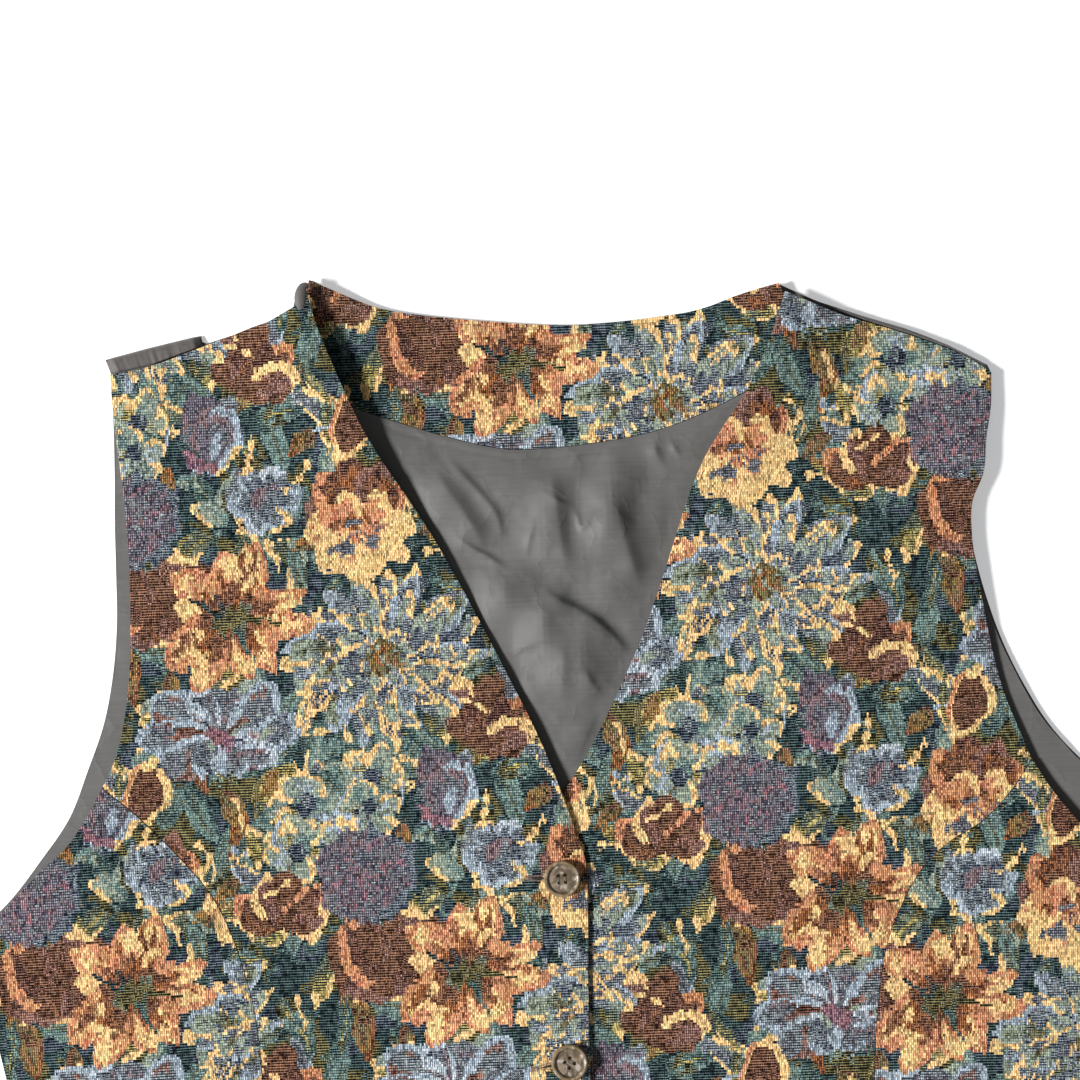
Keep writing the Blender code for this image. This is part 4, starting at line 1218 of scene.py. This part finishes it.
def add_shoulder_roll(bm, side):
    """The strip of the back that rolls over one shoulder, along the raised rows of the solid."""
    points = node_points("back")[0]
    raised = points[(points[:, 2] > ROLL_LEVELS[0]) & (points[:, 0] * side > 0)]
    along = []
    for row in (raised[raised[:, 2] < ROLL_LEVELS[1]], raised[raised[:, 2] > ROLL_LEVELS[1]]):
        row = row[np.argsort(row[:, 0])][:, :2]
        steps = lengths_along(row)
        wanted = np.linspace(0.0, steps[-1] * ROLL_SHARE[side], ROLL_STATIONS + 1)
        along.append(np.column_stack([np.interp(wanted, steps, row[:, i]) for i in (0, 1)]))
    outer, inner = along
    section = smooth_run(np.array(ROLL_SECTION), 0.6)
    section = np.vstack([section, ROLL_SECTION[-1]])
    rows = len(section) - 1
    fresh = bmesh.ops.create_grid(bm, x_segments=ROLL_STATIONS, y_segments=rows, size=0.5)["verts"]
    wrinkle = np.random.default_rng(21 + side).uniform(-1, 1, (2, ROLL_STATIONS + 1))
    wrinkle = (wrinkle + np.roll(wrinkle, 1, axis=1) + np.roll(wrinkle, -1, axis=1)) / 3.0
    for vert in fresh:
        i = round((vert.co.x + 0.5) * ROLL_STATIONS)
        share, rise = section[round((0.5 - vert.co.y) * rows)]
        share += 0.06 * wrinkle[0, i] * math.sin(math.pi * min(max(share, 0.0), 1.0))
        x, y = outer[i] + (inner[i] - outer[i]) * share
        end = 0.3 + 0.7 * float(smooth_step(min(i, ROLL_STATIONS - i), 0.0, 8.0))
        vert.co = (x, y, 0.3 + (rise - 0.3) * end * (1.0 + 0.05 * wrinkle[1, i]))


def add_neck_fold(bm, tree):
    """The small fold of satin that wraps the right neck point, laid over the tapestry."""
    track = drawn_line(NECK_FOLD, 0.5)
    ahead = np.gradient(track, axis=0)
    ahead /= np.hypot(*ahead.T)[:, None]
    around, last = 10, len(track) - 1
    fresh = bmesh.ops.create_grid(bm, x_segments=last, y_segments=around, size=0.5)["verts"]
    level = max(height_on(tree, x + NECK_FOLD_PROBE[0], y + NECK_FOLD_PROBE[1]) or 0.0 for x, y in track)
    for vert in fresh:
        i = round((vert.co.x + 0.5) * last)
        angle = math.pi * (vert.co.y + 0.5)
        swell = math.sin(math.pi * min(max((i + 0.6) / (last + 1.2), 0.0), 1.0)) ** 0.5
        reach = NECK_FOLD_HALF * swell * math.cos(angle)
        x, y = track[i][0] - ahead[i][1] * reach, track[i][1] + ahead[i][0] * reach
        vert.co = (x, y, level - NECK_FOLD_SINK + NECK_FOLD_RISE * swell * math.sin(angle))


def crease_heights(plan, creases):
    """Sum of soft ridges and troughs along drawn lines."""
    height = np.zeros(len(plan))
    for rise, left, right, line in creases:
        track = drawn_line(line, 2.0)
        near, gap = nearest_on(track, plan, closed=False)
        start, end = (np.hypot(*(near - track[k]).T) for k in (0, -1))
        fade = smooth_step(np.minimum(start, end), -2.0, 11.0)
        width = np.where(plan[:, 0] > near[:, 0], right, left)
        height += rise * fade * np.exp(-(gap / width) ** 1.5)
    return height


def make_lining(settings):
    """The thin satin lining of the back, with the creases that show inside the V neck."""
    outline, corners = smooth_outline(node_outline("back_lining"), 2.0)
    bm = cloth_grid(outline, corners, (SATIN_CELL, SATIN_CELL))
    covers = [smooth_outline(node_outline(name))[0]
              for name in ("front_right", "front_left", "back_neck_facing")]
    (left, top), (right, foot) = from_garment(LINING_WINDOW)
    fine = [edge for edge in bm.edges
            if all(left < vert.co.x < right and foot < vert.co.y < top for vert in edge.verts)]
    bmesh.ops.subdivide_edges(bm, edges=fine, cuts=3, use_grid_fill=True)
    plan = plan_of(bm)
    x, y = plan.T
    clear = np.full(len(plan), -1.0)
    near = (x > left) & (x < right) & (y > foot) & (y < top)
    clear[near] = np.min([-depth_inside(cover, plan[near]) for cover in covers], axis=0)
    shown = smooth_step(clear, -3.0, 9.0)
    height = Relief("back_lining", 2.5, 1).at(plan)
    ripples = (0.45 * lay_noise(plan, 21.0, 12) + 0.28 * lay_noise(plan, 9.0, 13)
               + 0.09 * lay_noise(plan, 4.0, 14))
    height += settings.crease_depth * shown * (crease_heights(plan, CREASES) + ripples)
    depth = nearest_on(outline, plan)[1]
    hem = np.exp(-((depth - ARMHOLE_STITCH) / 0.8) ** 2)
    height -= ARMHOLE_STITCH_DEPTH * hem + SATIN_ROUNDING * (1.0 - smooth_step(depth, 0.0, 1.6))
    set_heights(bm, np.maximum(height, LINING_FLOOR))
    turn_edge_under(bm, LINING_EDGE_TURN)
    finish = satin_finish("lining_satin", settings.lining_colour, settings)
    piece = finished_piece("back_lining_satin", bm, finish)
    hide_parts("back_lining")
    return piece


def button_seat(name):
    """The middle of a button in plan and the height of its underside and face."""
    low, high = (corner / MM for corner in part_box(name))
    return (low.x + high.x) / 2, (low.y + high.y) / 2, low.z, high.z


def make_button(name, settings):
    """A turned horn-look button: rolled rim, grooved dish and four holes."""
    x, y, low, high = button_seat(name)
    radius = (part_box(name)[1].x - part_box(name)[0].x) / MM / 2
    bm = bmesh.new()
    section = np.array([(radius * share, low + (high - low) * rise) for share, rise in BUTTON_SECTION])
    profile = smooth_run(section, 0.3)
    verts = [bm.verts.new((r, 0.0, z)) for r, z in profile]
    edges = [bm.edges.new(pair) for pair in zip(verts[:-1], verts[1:])]
    bmesh.ops.spin(bm, geom=verts + edges, cent=(0, 0, 0), axis=(0, 0, 1), angle=math.tau, steps=64,
                   use_merge=True, use_duplicate=False)
    bmesh.ops.remove_doubles(bm, verts=bm.verts, dist=0.001)
    face_level = profile[-1][1]
    rims = [edge for edge in bm.edges if edge.is_boundary]
    face_rim = [edge for edge in rims if edge.verts[0].co.z > (low + high) / 2]
    back_rim = [edge for edge in rims if edge not in face_rim]
    bmesh.ops.holes_fill(bm, edges=back_rim, sides=0)
    hole_edges = []
    for across, along in HOLE_CORNERS:
        centre = Matrix.Translation((across * HOLE_PITCH / 2, along * HOLE_PITCH / 2, face_level))
        ring = bmesh.ops.create_circle(bm, cap_ends=False, segments=18, radius=HOLE_RADIUS, matrix=centre)
        hole_edges += list({edge for vert in ring["verts"] for edge in vert.link_edges})
    bmesh.ops.triangle_fill(bm, edges=face_rim + hole_edges, use_beauty=True)
    made = bmesh.ops.extrude_edge_only(bm, edges=hole_edges)["geom"]
    wall = [item for item in made if isinstance(item, bmesh.types.BMVert)]
    bmesh.ops.translate(bm, verts=wall, vec=(0, 0, -HOLE_DEPTH))
    floors = [item for item in made if isinstance(item, bmesh.types.BMEdge) and item.is_boundary]
    bmesh.ops.holes_fill(bm, edges=floors, sides=0)
    turn = Matrix.Rotation(math.radians(BUTTON_TURNS[name]), 3, 'Z')
    bmesh.ops.rotate(bm, verts=bm.verts, cent=(0, 0, 0), matrix=turn)
    bmesh.ops.translate(bm, verts=bm.verts, vec=(x, y, 0))
    piece = finished_piece(f"{name}_horn", bm, horn_finish(name, (x * MM, y * MM), settings), 35.0)
    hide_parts(name)
    return piece


def add_bar(bm, start, end, width, height):
    """One stitch: a short rounded bar from one place to another."""
    run = Vector(end) - Vector(start)
    turn = Matrix.Rotation(math.atan2(run.y, run.x), 3, 'Z')
    tilt = Matrix.Rotation(-math.atan2(run.z, math.hypot(run.x, run.y)), 3, 'Y')
    verts = bmesh.ops.create_icosphere(bm, subdivisions=1, radius=0.5)["verts"]
    bmesh.ops.scale(bm, verts=verts, vec=(run.length, width, height))
    bmesh.ops.rotate(bm, verts=verts, cent=(0, 0, 0), matrix=turn @ tilt)
    bmesh.ops.translate(bm, verts=verts, vec=(Vector(start) + Vector(end)) / 2)


def sewn(bars):
    """All the stitches as one mesh, sewn a few at a time, as each operator walks its whole mesh."""
    whole = bmesh.new()
    for first in range(0, len(bars), 24):
        few = bmesh.new()
        for bar in bars[first:first + 24]:
            add_bar(few, *bar)
        mesh = bpy.data.meshes.new("few_stitches")
        few.to_mesh(mesh)
        few.free()
        whole.from_mesh(mesh)
        bpy.data.meshes.remove(mesh)
    return whole


def surface_of(piece):
    """A finished piece as a tree to drop places onto."""
    mesh = piece.data
    return BVHTree.FromPolygons([v.co for v in mesh.vertices], [p.vertices for p in mesh.polygons])


def height_on(tree, x, y):
    """The height of a surface at one place, in millimetres, or none."""
    hit = tree.ray_cast(Vector((x * MM, y * MM, 0.05)), Vector((0, 0, -1)))[0]
    return None if hit is None else hit.z / MM


def inset_line(outline, inset):
    """The outline moved inwards, thinned where it turns."""
    ahead = np.roll(outline, -2, axis=0) - np.roll(outline, 2, axis=0)
    ahead /= np.maximum(np.hypot(*ahead.T), 1e-9)[:, None]
    line = outline + inset * np.column_stack([-ahead[:, 1], ahead[:, 0]])
    keep = nearest_on(outline, line)[1] > inset * 0.93
    return line[keep]


def make_edge_stitches(settings):
    """The rows of stitches that hold the edges of the tapestry."""
    bars = []
    length, space = settings.stitch_length / MM, settings.stitch_space / MM
    for node in CUTS:
        tree = surface_of(bpy.data.objects[f"{node}_tapestry"])
        outline = smooth_outline(node_outline(node))[0]
        line = inset_line(outline, settings.stitch_inset / MM)
        line = np.vstack([line, line[:1]])
        steps = lengths_along(line)
        here = 0.0
        while here + length < steps[-1]:
            ends = []
            for way in (here, here + length):
                x, y = (float(np.interp(way, steps, line[:, i])) for i in (0, 1))
                z = height_on(tree, x, y)
                if z is not None:
                    ends.append((x, y, z))
            if len(ends) == 2 and math.dist(*ends) < 1.3 * length:
                bars.append((*ends, STITCH_WIDTH, STITCH_WIDTH))
            here += length + space
    finish = thread_finish("edge_thread", settings.edge_thread)
    piece = finished_piece("edge_stitches", sewn(bars), finish, 60.0)
    return piece


def make_buttonholes(settings):
    """A worked buttonhole under each button, with its bar tack, and a dark bar painted in its slit as the
    shade inside it.
    """
    tree = surface_of(bpy.data.objects["front_right_tapestry"])
    purl, slit, sewing = [], [], []
    for name in BUTTONS:
        x, y, low, high = button_seat(name)
        reach, tilt = BUTTONHOLES[name]
        across = Vector((math.cos(math.radians(tilt)), math.sin(math.radians(tilt)), 0.0))
        upright = Vector((-across.y, across.x, 0.0))
        for k in range(HOLE_STITCHES + 1):
            along = -reach + (reach + HOLE_PAST_BUTTON) * k / HOLE_STITCHES
            middle = Vector((x, y, 0.0)) + across * along
            open_half = SLIT_HALF + SLIT_OPENING * min(1.0, k / (0.4 * HOLE_STITCHES)) ** 1.5
            for side in (-1, 1):
                inner = middle + upright * side * open_half
                outer = middle + upright * side * (open_half + PURL_DEPTH)
                z = height_on(tree, outer.x, outer.y)
                inner.z, outer.z = z + 0.02, z + 0.02
                purl.append((inner, outer, PURL_WIDTH, PURL_WIDTH))
            z = height_on(tree, middle.x, middle.y)
            # Painted shade: a flat dark bar laid in the open slit stands in for the shade inside the
            # buttonhole
            if open_half > 0.22:
                left, right = middle - across * 0.4, middle + across * 0.4
                left.z = right.z = z + 0.03
                slit.append((left, right, 1.7 * open_half + 0.1, 0.3))
        tack = Vector((x, y, 0.0)) - across * (reach + 0.4)
        for k in range(-2, 3):
            middle = tack + across * 0.28 * k
            z = height_on(tree, middle.x, middle.y) + 0.1
            top, foot = middle + upright * TACK_HALF, middle - upright * TACK_HALF
            top.z = foot.z = z
            purl.append((top, foot, TACK_WIDTH, TACK_WIDTH))
        dish = low + (high - low) * BUTTON_SECTION[-1][1]
        turn = Matrix.Rotation(math.radians(BUTTON_TURNS[name]), 3, 'Z')
        half = HOLE_PITCH / 2
        for pair in (((-half, -half), (-half, half)), ((half, -half), (half, half))):
            for bend in (-0.16, 0.16):
                ends = [Vector((x, y, dish)) + turn @ Vector((px + bend, py, 0.0)) for px, py in pair]
                sewing.append((*ends, STITCH_WIDTH, 0.4))
    for name, bars, finish_name, tint, slot in (
            ("buttonhole_stitches", purl, "buttonhole_thread", settings.hole_thread, "tapestry"),
            ("buttonhole_slit_shade", slit, "slit_shade", settings.slit_shade_colour, "tapestry"),
            ("button_thread", sewing, "button_thread", settings.sewing_thread, "button_horn")):
        piece = finished_piece(name, sewn(bars), thread_finish(finish_name, tint), 60.0)


def make_stage(settings):
    """A plain pale floor, one soft key light with an even fill, and the camera straight above."""
    bm = bmesh.new()
    bmesh.ops.create_grid(bm, x_segments=8, y_segments=8, size=FLOOR_HALF)
    mesh = bpy.data.meshes.new("floor")
    bm.to_mesh(mesh)
    bm.free()
    mesh.materials.append(floor_finish(settings.floor_colour))
    floor = bpy.data.objects.new("floor", mesh)
    bpy.context.scene.collection.objects.link(floor)
    light = bpy.data.lights.new("key", 'AREA')
    light.shape, light.size, light.energy = 'DISK', KEY_SIZE, settings.key_power
    key = bpy.data.objects.new("key", light)
    middle = Vector(from_garment([FRAME_MIDDLE])[0].tolist() + [0.0]) * MM
    key.location = middle + Vector(KEY_WAY).normalized() * KEY_DISTANCE
    key.rotation_euler = (middle - key.location).to_track_quat('-Z', 'Y').to_euler()
    bpy.context.scene.collection.objects.link(key)
    world = bpy.data.worlds.new("even_light")
    world.use_nodes = True
    background = world.node_tree.nodes["Background"]
    background.inputs["Color"].default_value = DAYLIGHT
    background.inputs["Strength"].default_value = settings.fill
    bpy.context.scene.world = world
    lens = bpy.data.cameras.new("camera")
    lens.sensor_width = 36.0
    lens.lens = lens.sensor_width * settings.camera_height / settings.frame_width
    camera = bpy.data.objects.new("camera", lens)
    camera.location = middle + Vector((0, 0, settings.camera_height))
    camera.rotation_euler = (0.0, 0.0, math.radians(CAMERA_TURN))
    bpy.context.scene.collection.objects.link(camera)
    bpy.context.scene.camera = camera
    bpy.context.scene.view_settings.view_transform = 'Standard'


# Settings, operators and panel

def colour_setting(name, description, colour):
    """A colour setting, its default given in sRGB from 0 to 255."""
    return FloatVectorProperty(name=name, description=description, size=3, subtype='COLOR',
                               default=linear(colour)[:3])


def length_setting(name, description, default):
    """A length setting, in metres."""
    return FloatProperty(name=name, description=description, default=default, unit='LENGTH')


class TapestrySettings(PropertyGroup):
    """Sizes and looks of the tapestry."""

    weave_relief: FloatProperty(name="Weave relief", description="Strength of the ribs' bump", default=0.45,
                                min=0.0, max=1.0, subtype='FACTOR')
    yarn_variation: FloatProperty(name="Yarn variation", description="Brightness range from cell to cell",
                                  default=1.4, min=0.0, max=2.0)
    yarn_brightness: FloatProperty(name="Yarn brightness", description="Brightness of all the yarns",
                                   default=1.2, min=0.1, max=3.0)
    stitch_inset: length_setting("Stitch inset", "How far the edge stitches lie inside the edge", 0.0019)
    stitch_length: length_setting("Stitch length", "Length of one edge stitch", 0.0021)
    stitch_space: length_setting("Stitch space", "Gap between edge stitches", 0.0007)
    stitch_pull: length_setting("Stitch pull", "How deep the stitches draw the cloth in", 0.0004)
    edge_thread: colour_setting("Edge thread", "Colour of the edge stitches", (92, 82, 70))


class SatinSettings(PropertyGroup):
    """Sizes and looks of the satin."""

    back_colour: colour_setting("Back", "Colour of the satin back", (96, 92, 90))
    lining_colour: colour_setting("Lining", "Colour of the lining", (102, 101, 99))
    satin_thread: length_setting("Satin thread", "Pitch of the satin's fine lines", 0.00035)
    crinkle: FloatProperty(name="Crinkle", description="Strength of the fine crinkles, beside the weave's",
                           default=7.0, min=0.0, max=20.0)
    crease_depth: FloatProperty(name="Crease depth", description="Depth of the lining's creases, 1 as drawn",
                                default=1.25, min=0.0, max=2.0)


class ButtonSettings(PropertyGroup):
    """Colours of the buttons and their sewing."""

    horn_dark: colour_setting("Horn dark", "Darker horn", (94, 80, 64))
    horn_light: colour_setting("Horn light", "Lighter horn", (146, 130, 110))
    horn_streak: colour_setting("Horn streak", "Pale streaks", (206, 200, 190))
    horn_rim: colour_setting("Horn rim", "Clear tan rim", (146, 120, 80))
    hole_thread: colour_setting("Buttonhole thread", "Colour of the worked buttonholes", (150, 118, 100))
    sewing_thread: colour_setting("Button thread", "Colour of the thread in the buttons", (104, 92, 76))
    slit_shade_colour: colour_setting("Buttonhole slit", "Shade inside a buttonhole", (22, 16, 15))


class StageSettings(PropertyGroup):
    """Floor, light and camera."""

    floor_colour: FloatVectorProperty(name="Floor", description="Colour of the floor", size=3,
                                      subtype='COLOR', default=(0.92, 0.92, 0.92))
    key_power: FloatProperty(name="Key light", description="Power of the main light", default=790.0,
                             unit='POWER')
    fill: FloatProperty(name="Fill", description="Strength of the even light all round", default=0.15,
                        min=0.0)
    camera_height: length_setting("Camera height", "Height of the camera above the floor", 1.6)
    frame_width: length_setting("Frame width", "Width of the garment that the picture takes in", 0.4428)


class WAISTCOAT_OT_tapestry(Operator):
    """Weave and lay the five tapestry pieces"""
    bl_idname = "waistcoat.tapestry"
    bl_label = "Tapestry Fronts and Facing"

    def execute(self, context):
        code = flower_chart()
        for node in CUTS:
            piece = make_tapestry_panel(node, code, context.scene.waistcoat_tapestry)
        return {'FINISHED'}


class WAISTCOAT_OT_satin(Operator):
    """Lay the satin back and its lining"""
    bl_idname = "waistcoat.satin"
    bl_label = "Satin Back and Lining"

    def execute(self, context):
        if "front_right_tapestry" not in bpy.data.objects:
            raise RuntimeError("lay the tapestry before the satin, which folds over it at the neck")
        settings = context.scene.waistcoat_satin
        make_satin_back(settings)
        make_lining(settings)
        return {'FINISHED'}


class WAISTCOAT_OT_buttons(Operator):
    """Turn the four buttons"""
    bl_idname = "waistcoat.buttons"
    bl_label = "Buttons"

    def execute(self, context):
        for name in BUTTONS:
            make_button(name, context.scene.waistcoat_buttons)
        return {'FINISHED'}


class WAISTCOAT_OT_sewing(Operator):
    """Sew the edges, the buttonholes and the buttons"""
    bl_idname = "waistcoat.sewing"
    bl_label = "Stitches and Buttonholes"

    def execute(self, context):
        if "front_right_tapestry" not in bpy.data.objects:
            raise RuntimeError("lay the tapestry before sewing it")
        make_edge_stitches(context.scene.waistcoat_tapestry)
        make_buttonholes(context.scene.waistcoat_buttons)
        return {'FINISHED'}


class WAISTCOAT_OT_stage(Operator):
    """Set the pale floor, the soft light and the camera above the garment"""
    bl_idname = "waistcoat.stage"
    bl_label = "Floor, Light and Camera"

    def execute(self, context):
        make_stage(context.scene.waistcoat_stage)
        return {'FINISHED'}


class WAISTCOAT_PT_sidebar(Panel):
    """The waistcoat's pieces, each beside its settings; the tapestry is made first"""
    bl_label = "Waistcoat"
    bl_space_type = 'VIEW_3D'
    bl_region_type = 'UI'
    bl_category = "Waistcoat"

    def draw(self, context):
        for name, group, operators in SECTIONS:
            box = self.layout.box()
            for operator in operators:
                box.operator(operator.bl_idname)
            settings = getattr(context.scene, name)
            for setting in group.__annotations__:
                box.prop(settings, setting)


SECTIONS = (("waistcoat_tapestry", TapestrySettings, (WAISTCOAT_OT_tapestry, WAISTCOAT_OT_sewing)),
            ("waistcoat_satin", SatinSettings, (WAISTCOAT_OT_satin,)),
            ("waistcoat_buttons", ButtonSettings, (WAISTCOAT_OT_buttons,)),
            ("waistcoat_stage", StageSettings, (WAISTCOAT_OT_stage,)))
CLASSES = (TapestrySettings, SatinSettings, ButtonSettings, StageSettings, WAISTCOAT_OT_tapestry,
           WAISTCOAT_OT_satin, WAISTCOAT_OT_buttons, WAISTCOAT_OT_sewing, WAISTCOAT_OT_stage,
           WAISTCOAT_PT_sidebar)


def register():
    """Add the classes and the scene's settings."""
    for kind in CLASSES:
        bpy.utils.register_class(kind)
    for name, group, _ in SECTIONS:
        setattr(bpy.types.Scene, name, PointerProperty(type=group))


def unregister():
    """Take the settings and the classes away again."""
    for name, _, _ in SECTIONS:
        delattr(bpy.types.Scene, name)
    for kind in reversed(CLASSES):
        bpy.utils.unregister_class(kind)


def main():
    """Build the whole scene."""
    register()
    bpy.ops.waistcoat.tapestry()
    bpy.ops.waistcoat.satin()
    bpy.ops.waistcoat.buttons()
    bpy.ops.waistcoat.sewing()
    bpy.ops.waistcoat.stage()


if __name__ == "__main__":
    main()
